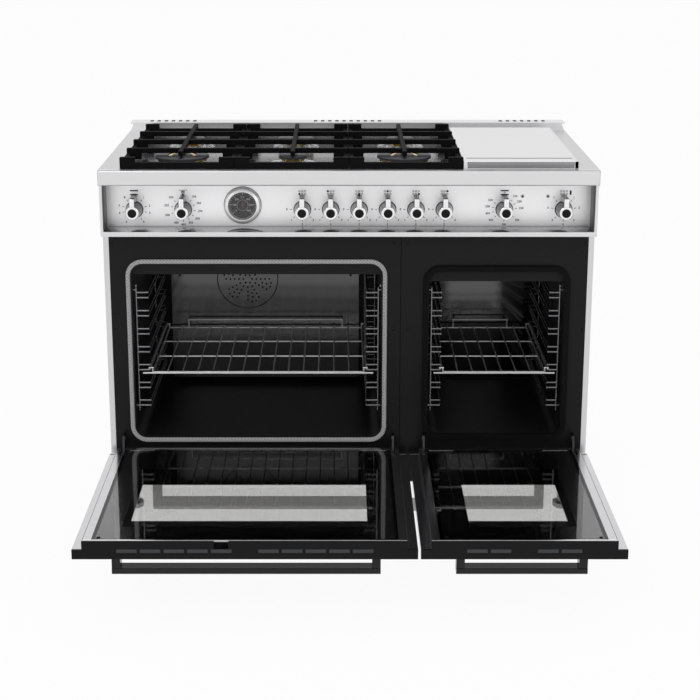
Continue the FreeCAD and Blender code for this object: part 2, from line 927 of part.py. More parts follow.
def control_frame():
    """The frame round the sunk control panel: two cheeks and a hollow ledge."""
    ledge = block(
        "ledge_block",
        ("-half_width", "front + frame_front", "lip_low"),
        ("half_width", "front + frame_back", "lip_high"),
    )
    cheeks = [
        block(
            f"cheek_{name}",
            (low, "front + frame_front", "lip_low"),
            (high, "front + frame_back", "rail_low"),
        )
        for name, low, high in (
            ("left", "-half_width", "-half_width + cheek"),
            ("right", "half_width - cheek", "half_width"),
        )
    ]
    hollow = block(
        "ledge_hollow",
        ("-half_width + cheek", "front + frame_front + sheet", "lip_low + sheet"),
        ("half_width - cheek", "front + frame_back + overrun", "lip_high - sheet"),
    )
    return cut("control_frame", fuse("control_blank", [ledge, *cheeks]), [hollow])


# Each knob's distance from the left end, the middle or the right end of the range.
KNOBS = {
    "oven_mode_knob": ("{} - half_width", 75.7),
    "oven_temperature_knob": ("{} - half_width", 196.5),
    "left_front_burner_knob": ("-{}", 115.0),
    "left_rear_burner_knob": ("-{}", 44.5),
    "middle_front_burner_knob": ("{}", 26.0),
    "middle_rear_burner_knob": ("{}", 96.5),
    "right_front_burner_knob": ("{}", 167.0),
    "right_rear_burner_knob": ("{}", 237.5),
    "small_oven_knob": ("half_width - {}", 220.8),
    "griddle_knob": ("half_width - {}", 73.7),
}


def knob_size(name):
    """The name of a knob's place across the range."""
    return name + "_x"


for knob_name, (rule, distance) in KNOBS.items():
    SIZES[knob_name + "_inset"] = distance
    RULES[knob_size(knob_name)] = rule.format(knob_name + "_inset")


def control_panel():
    """The sunk panel with holes for ten shafts, two lamps and the gauge's tube."""
    panel = block(
        "panel_sheet",
        ("-half_width + cheek", "panel_face", "lip_high"),
        ("half_width - cheek", "panel_back", "rail_low"),
    )
    ends = ("panel_face - overrun", "panel_back + overrun")
    holes = [
        rod(f"panel_hole_{name}", "y", (knob_size(name), "knob_height"), ends, "shaft_hole")
        for name in KNOBS
    ]
    for name in ("lamp_left", "lamp_right"):
        place_at = (name, "lamp_height")
        holes.append(rod(f"panel_hole_{name}", "y", place_at, ends, "lamp_radius + clearance"))
    return cut("control_panel", panel, [group("panel_holes", holes)])


def knob_collars():
    """A low ring on the panel round each knob's shaft."""
    outline = [
        ("shaft_hole", 0),
        ("collar_radius - overrun", 0),
        ("collar_radius", "overrun"),
        ("collar_radius", "collar_thick"),
        ("shaft_hole", "collar_thick"),
    ]
    return group("knob_collars", [
        turned(
            f"collar_{name}", outline,
            (knob_size(name), "panel_face - collar_thick", "knob_height"), "y",
        )
        for name in KNOBS
    ])


def knob(name):
    """A round knob with a bar that points up when it is off, on its shaft."""
    x = knob_size(name)
    axis = (x, "knob_height")
    bar = rounded(
        f"{name}_bar", "y",
        (f"{x} - knob_bar / 2", "front + knob_face", "knob_height"),
        (f"{x} + knob_bar / 2", "front + knob_back", "knob_height + knob_reach"),
        "knob_round",
        lambda spot: spot.z > number("knob_height") + number("knob_reach") / 2,
    )
    return fuse(name, [
        cone(
            f"{name}_body", "y", axis,
            ("front + knob_face", "front + knob_back"), ("knob_radius", "knob_skirt"),
        ),
        bar,
        rod(
            f"{name}_cap", "y", axis,
            ("front + knob_face - knob_cap_proud", "front + knob_back"), "knob_cap",
        ),
        rod(f"{name}_shaft", "y", axis, ("front + knob_face", "front + shaft_deep"), "shaft_radius"),
    ])


def gas_train():
    """The valves behind the panel and the square manifold that feeds them from the back."""
    valves = []
    for name in KNOBS:
        x = knob_size(name)
        blank = fuse(f"valve_blank_{name}", [
            block(
                f"valve_block_{name}",
                (f"{x} - valve_half", "panel_back", "knob_height - valve_tall"),
                (f"{x} + valve_half", "valve_back", "knob_height + valve_tall"),
            ),
            rod(
                f"valve_nipple_{name}", "z", (x, "valve_back - valve_half"),
                ("knob_height", "knob_height + valve_tall + nipple_tall"), "nipple_radius",
            ),
        ])
        bore = rod(
            f"valve_bore_{name}", "y", (x, "knob_height"),
            ("panel_back - overrun", "front + shaft_deep + overrun"), "shaft_radius + fit",
        )
        valves.append(cut(f"valve_{name}", blank, [bore]))
    side = "manifold_side / 2"
    tube = block(
        "manifold_tube",
        ("-manifold_half", "valve_back", f"knob_height - {side}"),
        ("manifold_half", "valve_back + manifold_side", f"knob_height + {side}"),
    )
    tube_hollow = block(
        "manifold_hollow",
        (
            "-manifold_half + manifold_wall",
            "valve_back + manifold_wall",
            f"knob_height - {side} + manifold_wall",
        ),
        ("manifold_half - manifold_wall", "valve_back + manifold_side - manifold_wall",
         f"knob_height + {side} - manifold_wall"),
    )
    inlet = ("inlet_x", "knob_height")
    start = "valve_back + manifold_side - manifold_wall / 2"
    pipe = rod("inlet_pipe", "y", inlet, (start, "back"), "inlet_radius")
    socket = rod("inlet_socket", "y", inlet, ("back - 2 * socket_long", "back"), "socket_radius")
    bores = [
        tube_hollow,
        rod("inlet_way", "y", inlet, ("valve_back + manifold_side / 2", "back + overrun"), "inlet_bore"),
        rod("socket_way", "y", inlet, ("back - socket_long", "back + overrun"), "socket_bore"),
    ]
    manifold = cut("gas_manifold", fuse("manifold_blank", [tube, pipe, socket]), bores)
    return [group("gas_valves", valves), manifold]


def gauge():
    """The oven thermometer: a raised ring, a dial, a needle on its pivot and a lens."""
    centre = ("gauge_x", "gauge_height")
    ring = [
        ("bezel_bore", 0),
        ("bezel_bore + bezel_soft / 2", 0),
        ("bezel_radius - bezel_soft", "bezel_soft / 2"),
        ("bezel_radius", "2 * bezel_soft"),
        ("bezel_radius", "bezel_tall"),
        ("bezel_bore", "bezel_tall"),
    ]
    bezel = turned("gauge_bezel", ring, ("gauge_x", "panel_face - bezel_tall", "gauge_height"), "y")
    disc = rod("dial_disc", "y", centre, ("dial_face", "panel_face"), "bezel_bore - clearance / 2")
    hole = rod(
        "dial_hole", "y", centre, ("dial_face - overrun", "panel_face + overrun"), "pivot_radius + fit",
    )
    dial = cut("gauge_dial", disc, [hole])
    near, far = "dial_face - needle_lift", "dial_face - needle_lift + needle_thick"
    needle = fuse("gauge_needle", [
        block(
            "needle_blade",
            ("gauge_x - needle_wide / 2", near, "gauge_height - needle_tail"),
            ("gauge_x + needle_wide / 2", far, "gauge_height + needle_long"),
        ),
        rod("needle_hub_disc", "y", centre, (near, "dial_face - clearance"), "needle_hub"),
        rod("needle_pivot", "y", centre, (near, "panel_face - clearance"), "pivot_radius"),
    ])
    lens_front = "panel_face - bezel_tall + lens_drop"
    lens = rod(
        "gauge_lens", "y", centre,
        (lens_front, f"{lens_front} + lens_thick"), "bezel_bore - clearance / 2",
    )
    return [bezel, dial, needle, lens]


def indicator_lamps():
    """Two small lamps set through the panel."""
    return group("indicator_lamps", [
        rod(
            f"{name}_tube", "y", (name, "lamp_height"),
            ("panel_face - lamp_proud", "panel_face + lamp_deep"), "lamp_radius",
        )
        for name in ("lamp_left", "lamp_right")
    ])


OVENS = {
    "main": ("-inner_half", "frame_split"),
    "small": ("frame_split", "inner_half"),
}


def oven_liner(name):
    """An enamelled oven: the face plate round its mouth and the box behind it."""
    left, right = f"{name}_left", f"{name}_right"
    low, high, back = f"{name}_low", f"{name}_high", f"front + {name}_back"
    plate_left, plate_right = OVENS[name]
    plate = block(
        f"{name}_face_plate",
        (plate_left, "plate_front", "body_low"),
        (plate_right, "plate_back", "lip_low"),
    )
    box = block(
        f"{name}_oven_box",
        (f"{left} - 2 * sheet", "plate_front", f"{low} - 2 * sheet"),
        (f"{right} + 2 * sheet", f"{back} + sheet", f"{high} + 2 * sheet"),
    )
    cavity = rounded(
        f"{name}_cavity", "y",
        (left, "plate_front - overrun", low),
        (right, back, high),
        "cavity_round",
    )
    shell = cut(f"{name}_oven_shell", fuse(f"{name}_oven_blank", [plate, box]), [cavity])
    lip = block(
        f"{name}_mouth_lip",
        (left, "plate_front + lip_set", f"{high} - lip_drop"),
        (right, "plate_front + lip_set + sheet", f"{high} + sheet"),
    )
    label = f"{name}_oven_liner"
    if name == "small":
        return fuse(label, [shell, lip])
    shaft = rod(
        "liner_shaft_hole", "y", ("fan_x", "fan_height"),
        (f"{back} - overrun", f"{back} + 2 * sheet"), "fan_shaft + fit",
    )
    return cut(label, fuse("main_oven_joined", [shell, lip]), [shaft])


def oven_gasket(name):
    """The seal round an oven's mouth, which the closed door presses on."""
    gap, wide = f"{name}_seal_gap", f"{name}_seal_wide"

    def loop(suffix, grow, ends):
        return rounded(
            f"{name}_seal_{suffix}", "y",
            (f"{name}_left - {grow}", ends[0], f"{name}_low - {grow}"),
            (f"{name}_right + {grow}", ends[1], f"{name}_high + {grow}"),
            f"cavity_round + {grow}",
        )

    ends = ("seal_front", "plate_front")
    outer = loop("outer", f"({gap} + {wide})", ends)
    inner = loop("inner", gap, (f"{ends[0]} - overrun", f"{ends[1]} + overrun"))
    return cut(f"{name}_oven_gasket", outer, [inner])


def grille_spots():
    """Six petals of holes: each hole's distance from the middle in steps, and its turn."""
    spots = []
    for petal in range(0, 360, 60):
        spots.append((1, petal))
        spots += [(steps, petal + side) for steps in (2, 3, 4, 5) for side in (0, 30)]
        spots += [(steps, petal - 15) for steps in (3.5, 4.5)]
        spots += [(5.5, petal - side) for side in (10, 20)]
    return spots


def fan_parts():
    """The perforated cover, the fan wheel behind it and the motor behind the oven."""
    centre = ("fan_x", "fan_height")
    cover_box = block(
        "cover_box",
        ("baffle_left", "front + baffle_front", "baffle_low"),
        ("baffle_right", "front + main_back", "baffle_high"),
    )
    cover_hollow = block(
        "cover_hollow",
        ("baffle_left + sheet", "front + baffle_front + sheet", "baffle_low + sheet"),
        ("baffle_right - sheet", "front + main_back + overrun", "baffle_high - sheet"),
    )
    holes = []
    ends = ("front + baffle_front - overrun", "front + baffle_front + sheet + overrun")
    for at, (steps, degrees) in enumerate(grille_spots()):
        turn = math.radians(degrees)
        spot = (
            f"fan_x + {steps} * grille_step * {math.cos(turn):.6f}",
            f"fan_height + {steps} * grille_step * {math.sin(turn):.6f}",
        )
        holes.append(rod(f"grille_hole_{at + 1}", "y", spot, ends, "grille_hole"))
    groove_ends = (ends[0], "front + baffle_front + sheet / 2")
    groove_outer = rod("groove_outer", "y", centre, groove_ends, "grille_radius")
    groove_inner = rod("groove_inner", "y", centre, groove_ends, "grille_radius - grille_groove")
    holes.append(cut("grille_line", groove_outer, [groove_inner]))
    shell = cut("cover_shell", cover_box, [cover_hollow])
    cover = cut("fan_cover", shell, [group("grille_holes", holes)])
    fan_ends = ("front + fan_front", "front + fan_front + blade_deep")
    blades = []
    count = 12
    for at in range(count):
        blade = block(
            f"fan_blade_{at + 1}",
            (0, fan_ends[0], "-blade_thick / 2"),
            ("blade_long", fan_ends[1], "blade_thick / 2"),
        )
        turn = 2 * math.pi * at / count
        blade.Placement.Rotation = Rotation(Vector(0, -1, 0), math.degrees(turn))
        reach = "(fan_radius - blade_long)"
        tilt = "blade_thick / 2"
        place(
            blade,
            f"fan_x + {reach} * {math.cos(turn):.6f} + {tilt} * {math.sin(turn):.6f}",
            fan_ends[0],
            f"fan_height + {reach} * {math.sin(turn):.6f} - {tilt} * {math.cos(turn):.6f}",
        )
        blades.append(blade)
    wheel = fuse("fan_wheel", [
        rod("fan_disc", "y", centre, (f"{fan_ends[1]} - blade_thick", fan_ends[1]), "fan_radius"),
        rod("fan_hub", "y", centre, fan_ends, "2 * fan_shaft"),
        rod("fan_spindle", "y", centre, (fan_ends[0], "front + main_back + motor_long / 2"), "fan_shaft"),
        *blades,
    ])
    motor_front = "front + main_back + sheet"
    motor_ends = (motor_front, f"{motor_front} + motor_long")
    motor_body = rod("motor_can", "y", centre, motor_ends, "motor_radius")
    motor_bore = rod(
        "motor_bore", "y", centre,
        (f"{motor_front} - overrun", "front + main_back + motor_long / 2 + overrun"),
        "fan_shaft + fit",
    )
    return [cover, wheel, cut("fan_motor", motor_body, [motor_bore])]


def level_height(at):
    """The upper wire of one of the seven rack levels, counted from the top."""
    return f"level_top - {at} * level_pitch"


def guide(label, wall, reach, side):
    """A wire ladder on an oven's side wall: two uprights and seven pairs of runners."""
    post_x = f"{wall} + {side} * guide_inset"
    run_x = f"{post_x} + {side} * {reach}"
    ends = [post_x, run_x] if side > 0 else [run_x, post_x]
    depths = ("front + guide_front", "front + guide_back")
    low = f"{level_height(6)} - 2 * level_pair"
    pieces = []
    for at, y in enumerate(depths, start=1):
        rise = (low, "level_top + level_pair")
        pieces.append(rod(f"{label}_post_{at}", "z", (post_x, y), rise, "guide_wire"))
        foot = [wall, post_x] if side > 0 else [post_x, wall]
        for end, z in enumerate((f"{low} + level_pair", "level_top + level_pair / 2"), start=1):
            pieces.append(rod(f"{label}_foot_{at}_{end}", "x", (y, z), foot, "guide_wire"))
    for level in range(7):
        for pair in range(2):
            z = f"{level_height(level)} - {pair} * level_pair"
            name = f"{label}_{level + 1}_{pair + 1}"
            pieces.append(rod(name + "_run", "y", (run_x, z), depths, "guide_wire"))
            for at, y in enumerate(depths, start=1):
                pieces.append(rod(f"{name}_arm_{at}", "x", (y, z), ends, "guide_wire"))
    return fuse(label, pieces)


def rack_guides():
    """The four wire ladders of the two ovens."""
    return group("rack_guides", [
        guide("guide_main_left", "main_left", "main_reach", 1),
        guide("guide_main_right", "main_right", "main_reach", -1),
        guide("guide_small_left", "small_left", "small_reach", 1),
        guide("guide_small_right", "small_right", "small_reach", -1),
    ])


def rack(name, wires):
    """A wire rack whose outer rods run on a pair of guides, with a stop at its back."""
    label = f"{name}_oven_rack"
    run_left = f"{name}_left + guide_inset + {name}_reach"
    run_right = f"{name}_right - guide_inset - {name}_reach"
    run_z = f"{level_height(4)} - level_pair + guide_wire + rack_rail + clearance"
    deck_z = f"{run_z} - rack_drop"
    in_left, in_right = f"{run_left} + riser_inset", f"{run_right} - riser_inset"
    front_y, back_y = "front + rack_front", "front + rack_back"
    first_y = "front + guide_front"
    pieces = [
        rod(f"{label}_front_rail", "x", (front_y, deck_z),
            (f"{run_left} - rack_overhang", f"{run_right} + rack_overhang"), "rack_rail"),
    ]
    for at, share in enumerate((0, 1 / 3, 2 / 3, 1), start=1):
        y = f"{first_y} + (rack_back - guide_front) * {share}"
        pieces.append(rod(f"{label}_cross_{at}", "x", (y, deck_z), (in_left, in_right), "rack_cross"))
    for side, run_x, in_x, ends in (
        ("left", run_left, in_left, (run_left, f"{in_left} + rack_edge")),
        ("right", run_right, in_right, (f"{in_right} - rack_edge", run_right)),
    ):
        run_ends = (f"{first_y} - rack_rail", f"{back_y} + rack_rail")
        pieces.append(rod(f"{label}_runner_{side}", "y", (run_x, run_z), run_ends, "rack_rail"))
        edge_ends = (front_y, f"{back_y} + rack_rail")
        pieces.append(rod(f"{label}_edge_{side}", "y", (in_x, deck_z), edge_ends, "rack_edge"))
        for at, y in enumerate((first_y, back_y), start=1):
            rise = (deck_z, run_z)
            pieces.append(rod(f"{label}_riser_{side}_{at}", "z", (in_x, y), rise, "rack_riser"))
            pieces.append(rod(f"{label}_bridge_{side}_{at}", "x", (y, run_z), ends, "rack_cross"))
    wire_z = f"{deck_z} + rack_rail + rack_wire - rack_sink"
    for at in range(1, wires + 1):
        x = f"{in_left} + ({in_right} - ({in_left})) * {at} / {wires + 1}"
        pieces.append(rod(f"{label}_wire_{at}", "y", (x, wire_z), (front_y, back_y), "rack_wire"))
    stop_ends = (f"{run_left} + stop_inset", f"{run_right} - stop_inset")
    stop_z = f"{deck_z} + stop_tall"
    bar_ends = (f"{stop_ends[0]} - rack_edge", f"{stop_ends[1]} + rack_edge")
    pieces.append(rod(f"{label}_stop", "x", (back_y, stop_z), bar_ends, "rack_cross"))
    for at, x in enumerate(stop_ends, start=1):
        pieces.append(rod(f"{label}_stop_post_{at}", "z", (x, back_y), (deck_z, stop_z), "rack_riser"))
    return fuse(label, pieces)


DOORS = {
    "main": ("-half_width", "door_split - door_gap / 2"),
    "small": ("door_split + door_gap / 2", "half_width"),
}


def door_hinge_places(name):
    """Side, X and inward direction of a door's two hinges."""
    left, right = DOORS[name]
    return [("left", f"{left} + hinge_inset", 1), ("right", f"{right} - hinge_inset", -1)]


def hinge_slots(name, suffix):
    """The slots that let the hinge plates into a door as it closes."""
    slack = "(hinge_thick / 2 + hinge_slack)"
    return [
        block(
            f"{name}_{suffix}_slot_{side}",
            (f"{x} - {slack}", "hinge_y - hinge_slot", "hinge_height - hinge_boss - 2 * hinge_slack"),
            (f"{x} + {slack}", "skin_back + overrun", "glass_top + overrun"),
        )
        for side, x, _ in door_hinge_places(name)
    ]


def door_skin(name):
    """The outer pan of a door, with its window and the knuckles that turn on the hinge pins."""
    left, right = DOORS[name]
    blank = block(
        f"{name}_skin_block",
        (left, "skin_front", "skin_low"),
        (right, "skin_back", "skin_high"),
    )
    tools = [
        block(
            f"{name}_skin_hollow",
            (f"{left} + skin_wall", "skin_front + skin_wall", "skin_low + skin_wall"),
            (f"{right} - skin_wall", "skin_back - skin_wall", "skin_high - skin_wall"),
        ),
        block(
            f"{name}_skin_mouth",
            (
                f"{left} + inner_inset + skin_wall",
                "skin_front + trim_thick",
                "skin_high - skin_wall - overrun",
            ),
            (f"{right} - inner_inset - skin_wall", "inner_back - skin_wall", "skin_high + overrun"),
        ),
        block(
            f"{name}_skin_window",
            (f"{left} + window_side", "hinge_y - window_front", "skin_low - overrun"),
            (f"{right} - window_side", "hinge_y - window_back", "skin_low + skin_wall + overrun"),
        ),
    ]
    shell = cut(f"{name}_skin_shell", blank, tools)
    knuckles = []
    for side, x, inward in door_hinge_places(name):
        slack = "hinge_thick / 2 + hinge_slack"
        outer = [f"{x} - {inward} * ({slack})", f"{x} - {inward} * ({slack} + knuckle_outer)"]
        inner = [f"{x} + {inward} * ({slack})", f"{x} + {inward} * ({slack} + knuckle_inner)"]
        for spot, pair in (("outer", outer), ("inner", inner)):
            pair = pair if number(pair[0]) < number(pair[1]) else pair[::-1]
            knuckles.append(block(
                f"{name}_knuckle_{side}_{spot}",
                (pair[0], "hinge_y - hinge_boss", "skin_low"),
                (pair[1], "inner_back - skin_wall", "hinge_height + hinge_boss"),
            ))
            knuckles.append(rod(
                f"{name}_barrel_{side}_{spot}", "x",
                ("hinge_y", "hinge_height"), pair, "hinge_boss - skin_wall",
            ))
    pins = [
        rod(
            f"{name}_pin_way_{side}", "x", ("hinge_y", "hinge_height"),
            (f"{x} - hinge_inset + skin_wall", f"{x} + hinge_inset - skin_wall"), "hinge_pin + fit",
        )
        for side, x, _ in door_hinge_places(name)
    ]
    joined = fuse(f"{name}_skin_joined", [shell, *knuckles])
    return cut(f"{name}_door_skin", joined, pins + hinge_slots(name, "skin"))


def door_inner_frame(name):
    """The raised inner frame of a door, which carries the inner glass."""
    left, right = DOORS[name]
    blank = block(
        f"{name}_inner_block",
        (f"{left} + inner_inset", "skin_front", "skin_high"),
        (f"{right} - inner_inset", "inner_back", "glass_top"),
    )
    tools = [
        block(
            f"{name}_inner_hollow",
            (f"{left} + inner_inset + sheet", "skin_front + sheet", "skin_high - overrun"),
            (f"{right} - inner_inset - sheet", "inner_back - sheet", "glass_low - sheet"),
        ),
        block(
            f"{name}_glass_seat",
            (f"{left} + glass_inset", "glass_edge", "glass_low"),
            (f"{right} - glass_inset", "hinge_y - glass_tail", "glass_top + overrun"),
        ),
        block(
            f"{name}_glass_sight",
            (f"{left} + glass_inset + glass_seat", "glass_edge + glass_seat", "glass_low - 2 * sheet"),
            (f"{right} - glass_inset - glass_seat", "hinge_y - glass_tail - glass_seat", "glass_top"),
        ),
    ]
    openings = hinge_slots(name, "inner") + latch_notch(name, "inner")
    return cut(f"{name}_door_inner_frame", blank, tools + openings)


def door_glass(name):
    """The two panes of a door: the wide inner one and the window in the skin."""
    left, right = DOORS[name]
    inner = block(
        f"{name}_inner_pane",
        (f"{left} + glass_inset + clearance", "glass_edge + clearance", "glass_low"),
        (f"{right} - glass_inset - clearance", "hinge_y - glass_tail - clearance", "glass_top"),
    )
    outer = block(
        f"{name}_outer_pane",
        (
            f"{left} + window_side - window_lap",
            "hinge_y - window_front - window_lap",
            "skin_low + skin_wall",
        ),
        (f"{right} - window_side + window_lap", "hinge_y - window_back + window_lap",
         "skin_low + skin_wall + glass_thick"),
    )
    return group(f"{name}_door_glass", [inner, outer])


def latch_notch(name, suffix):
    """The notch that lets the main oven's latch through a door's top edge."""
    if name == "small":
        return []
    left, right = DOORS[name]
    x = f"({left} + {right}) / 2 - slot_pitch"
    return [block(
        f"{name}_{suffix}_notch",
        (f"{x} - notch_wide / 2", "door_front - overrun", "hinge_height + slot_tall / 2"),
        (f"{x} + notch_wide / 2", "glass_edge + overrun", "glass_top + overrun"),
    )]


def door_top_trim(name, slots):
    """The dark strip along a door's top edge, with its vent slots and the latch's notch."""
    left, right = DOORS[name]
    blank = fuse(f"{name}_trim_blank", [
        block(f"{name}_trim_low", (left, "door_front", "skin_low"), (right, "skin_front", "skin_high")),
        block(
            f"{name}_trim_high",
            (f"{left} + inner_inset", "door_front", "skin_high"),
            (f"{right} - inner_inset", "skin_front", "glass_top"),
        ),
    ])
    middle = f"({left} + {right}) / 2"
    holes = []
    for at in (*range(-slots, 0), *range(1, slots + 1)):
        x = f"{middle} + {at} * slot_pitch"
        holes.append(block(
            f"{name}_trim_slot_{at + slots + 1}",
            (f"{x} - slot_long / 2", "door_front - overrun", "hinge_height - slot_tall / 2"),
            (f"{x} + slot_long / 2", "skin_front - sheet", "hinge_height + slot_tall / 2"),
        ))
    return cut(f"{name}_door_top_trim", blank, holes + latch_notch(name, "trim"))


def door_handle(name):
    """A flat bar on two posts, square in section."""
    left, right = DOORS[name]
    near, far = "hinge_y - handle_front", "hinge_y - handle_front + handle_deep"
    low = "skin_low - handle_stand - handle_thick"
    start, end = f"{left} + handle_inset", f"{right} - handle_inset"
    pieces = [rounded(
        f"{name}_handle_bar", "x", (start, near, low), (end, far, f"{low} + handle_thick"), "handle_round",
    )]
    for side, a, b in (
        ("left", start, f"{start} + handle_post"),
        ("right", f"{end} - handle_post", end),
    ):
        pieces.append(block(
            f"{name}_handle_post_{side}",
            (a, f"{near} + handle_round", f"{low} + handle_round"),
            (b, f"{far} - handle_round", "skin_low"),
        ))
    return fuse(f"{name}_door_handle", pieces)


def door_hinges(name):
    """Two hinge plates on the oven's face, each with the pin that a door turns on."""
    outline = [
        ("hinge_y - hinge_boss / 2", "hinge_height - hinge_boss / 2"),
        ("hinge_y + hinge_boss / 2", "hinge_height - hinge_boss / 2"),
        ("plate_front", "hinge_height + hinge_root"),
        ("plate_front", "hinge_height + hinge_root + hinge_root_tall"),
        ("hinge_y + hinge_boss", "hinge_height + hinge_root + hinge_root_tall"),
        ("hinge_y - hinge_boss / 2", "hinge_height + hinge_boss / 2"),
    ]
    hinges = []
    for side, x, _ in door_hinge_places(name):
        half = "hinge_thick / 2"
        reach = "hinge_thick / 2 + hinge_slack + knuckle_outer - overrun"
        label = f"{name}_hinge_{side}"
        axis = ("hinge_y", "hinge_height")
        hinges.append(fuse(label, [
            padded(f"{label}_plate", "x", outline, (f"{x} - {half}", f"{x} + {half}")),
            rod(f"{label}_eye", "x", axis, (f"{x} - {half}", f"{x} + {half}"), "hinge_boss"),
            rod(f"{label}_pin", "x", axis, (f"{x} - ({reach})", f"{x} + {reach}"), "hinge_pin"),
        ]))
    return group(f"{name}_door_hinges", hinges)


def build():
    """Every sub-part of the range, in the order in which it goes together."""
    fill_sheet()
    parts = [
        side_panels(), rear_panel(), base_tray(), kick_plate(), levelling_legs(),
        front_rail(), cooktop(), rear_trim(), control_frame(), control_panel(),
        knob_collars(), indicator_lamps(), rack_guides(),
    ]
    parts += gauge() + gas_train() + griddle() + fan_parts()
    parts += [burner_bases(), burner_rings()] + burner_caps()
    parts += [grate(name, at) for at, name in enumerate(("left", "middle", "right"))]
    parts += [knob(name) for name in KNOBS]
    for name in OVENS:
        parts += [oven_liner(name), oven_gasket(name)]
    parts += [rack("main", 13), rack("small", 6)]
    for name, slots in (("main", 5), ("small", 2)):
        parts += [door_skin(name), door_inner_frame(name), door_glass(name)]
        parts += [door_top_trim(name, slots), door_handle(name), door_hinges(name)]
    DOC.recompute()
    return parts


def check(parts):
    """Stop if anything failed to build."""
    bad = [thing.Label for thing in DOC.Objects if {"Invalid", "Error"} & set(thing.State)]
    bad += [part.Label for part in parts if part.Shape.isNull() or not part.Shape.isValid()]
    if bad:
        raise RuntimeError("these did not build: " + ", ".join(bad))


def export(parts):
    """Write each sub-part to its own file."""
    os.makedirs("parts", exist_ok=True)
    for part in parts:
        part.Shape.exportStep(f"parts/{part.Label}.step")
        solids = len(part.Shape.Solids)
        print(f"{part.Label}: {solids} solids, {part.Shape.Volume / 1000:.1f} cm3")
    print(len(parts), "parts")


PARTS = build()
check(PARTS)
export(PARTS)
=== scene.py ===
# %% [markdown]
# # A free-standing gas range, dressed for the studio
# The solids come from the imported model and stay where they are. This file gives them their
# finishes, rounds the edges that a press brake or a casting mould would round, and adds the
# small things that are printed, screwed or woven on the real range.

# %% Load the frame
import bmesh
import bpy
import json
import math
from mathutils import Matrix, Vector


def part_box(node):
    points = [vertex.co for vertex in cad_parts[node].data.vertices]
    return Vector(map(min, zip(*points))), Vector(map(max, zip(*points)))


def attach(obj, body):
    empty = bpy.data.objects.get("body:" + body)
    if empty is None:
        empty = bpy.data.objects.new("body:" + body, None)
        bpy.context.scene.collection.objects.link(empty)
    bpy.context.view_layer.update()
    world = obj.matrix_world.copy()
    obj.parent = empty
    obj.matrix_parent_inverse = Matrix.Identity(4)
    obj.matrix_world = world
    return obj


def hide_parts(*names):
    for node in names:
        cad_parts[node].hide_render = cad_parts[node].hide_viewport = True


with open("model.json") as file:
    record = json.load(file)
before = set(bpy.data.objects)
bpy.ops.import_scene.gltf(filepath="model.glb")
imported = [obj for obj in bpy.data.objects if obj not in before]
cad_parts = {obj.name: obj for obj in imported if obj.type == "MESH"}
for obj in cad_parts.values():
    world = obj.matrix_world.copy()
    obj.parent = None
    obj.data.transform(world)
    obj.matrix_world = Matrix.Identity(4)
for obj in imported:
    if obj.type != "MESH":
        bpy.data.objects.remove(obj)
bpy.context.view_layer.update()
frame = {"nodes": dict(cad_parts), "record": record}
MM = 0.001

# %% [markdown]
# The photograph was taken from far off with the lens shifted down, so upright edges stay
# upright. A large shift would push every other view off the picture, so the camera here is
# pitched down with a small shift. It stands a little nearer than the photographer did, where the
# panel, the oven mouths, the doors and the top line up best together. The focal length was
# found in pixels of the picture and is turned to millimetres of the sensor here.

# %% The camera
PICTURE = 700
SENSOR = 36.0
FOCAL_PIXELS = 1495.8
CAMERA_PLACE = (-0.0222, -3.6, 1.5919)
CAMERA_PITCH = math.radians(14.2)
CAMERA_SHIFT = (0.0147, -0.13)

camera_data = bpy.data.cameras.new("studio_camera")
camera_data.sensor_width = SENSOR
camera_data.lens = FOCAL_PIXELS * SENSOR / PICTURE
camera_data.shift_x, camera_data.shift_y = CAMERA_SHIFT
camera = bpy.data.objects.new("studio_camera", camera_data)
camera.location = CAMERA_PLACE
camera.rotation_euler = (math.pi / 2 - CAMERA_PITCH, 0, 0)
bpy.context.scene.collection.objects.link(camera)
bpy.context.scene.camera = camera
bpy.context.scene.view_settings.view_transform = "Standard"
print("lens", round(camera_data.lens, 1), "mm")

# %% [markdown]
# Every finish below is a small tree of nodes. Colours are written as the hex values that a
# paint chart or a photograph gives, so one function turns them into the linear light that
# Blender mixes. Another adds a node with its settings and its links in one line. Some inputs
# share a name and go by number: 6 and 7 are a Mix node's two colours, 1 and 2 are the ends that
# go into a Map Range node, and 3 and 4 are the ends that come out. Every finish ends in the same
# way, with two tones of its colour mixed by a pattern, because no real surface has only one.

# %% Colour and node helpers
def linear(code):
    """A hex colour as linear light, with an alpha of 1."""
    parts = [int(code[start:start + 2], 16) / 255 for start in (1, 3, 5)]
    light = [c / 12.92 if c <= 0.04045 else ((c + 0.055) / 1.055) ** 2.4 for c in parts]
    return (*light, 1.0)


def add(tree, kind, settings=None, **inputs):
    """A node of that kind, its settings set, its inputs given a value or linked to an output.
    An input is named with underscores for spaces, or by its number, as n0."""
    node = tree.nodes.new(kind)
    for key, value in (settings or {}).items():
        setattr(node, key, value)
    for key, value in inputs.items():
        numbered = key[0] == "n" and key[1:].isdigit()
        socket = node.inputs[int(key[1:]) if numbered else key.replace("_", " ")]
        if isinstance(value, bpy.types.NodeSocket):
            tree.links.new(value, socket)
        else:
            socket.default_value = value
    return node


FINISHES = {}


def new_finish(name):
    """Start a finish: keep its material under its name and return its empty tree."""
    material = bpy.data.materials.new(name)
    material.use_nodes = True
    material.node_tree.nodes.clear()
    FINISHES[name] = material
    return material.node_tree


def two_tones(tree, level, dark, light, **shader_inputs):
    """End a finish: two tones mixed by a level, on a shader with those inputs."""
    tone = add(tree, "ShaderNodeMix", {"data_type": "RGBA"}, n0=level, n6=linear(dark), n7=linear(light))
    shader = add(tree, "ShaderNodeBsdfPrincipled", Base_Color=tone.outputs[2], **shader_inputs)
    add(tree, "ShaderNodeOutputMaterial", Surface=shader.outputs[0])


print("mid grey is", round(linear("#808080")[0], 3))

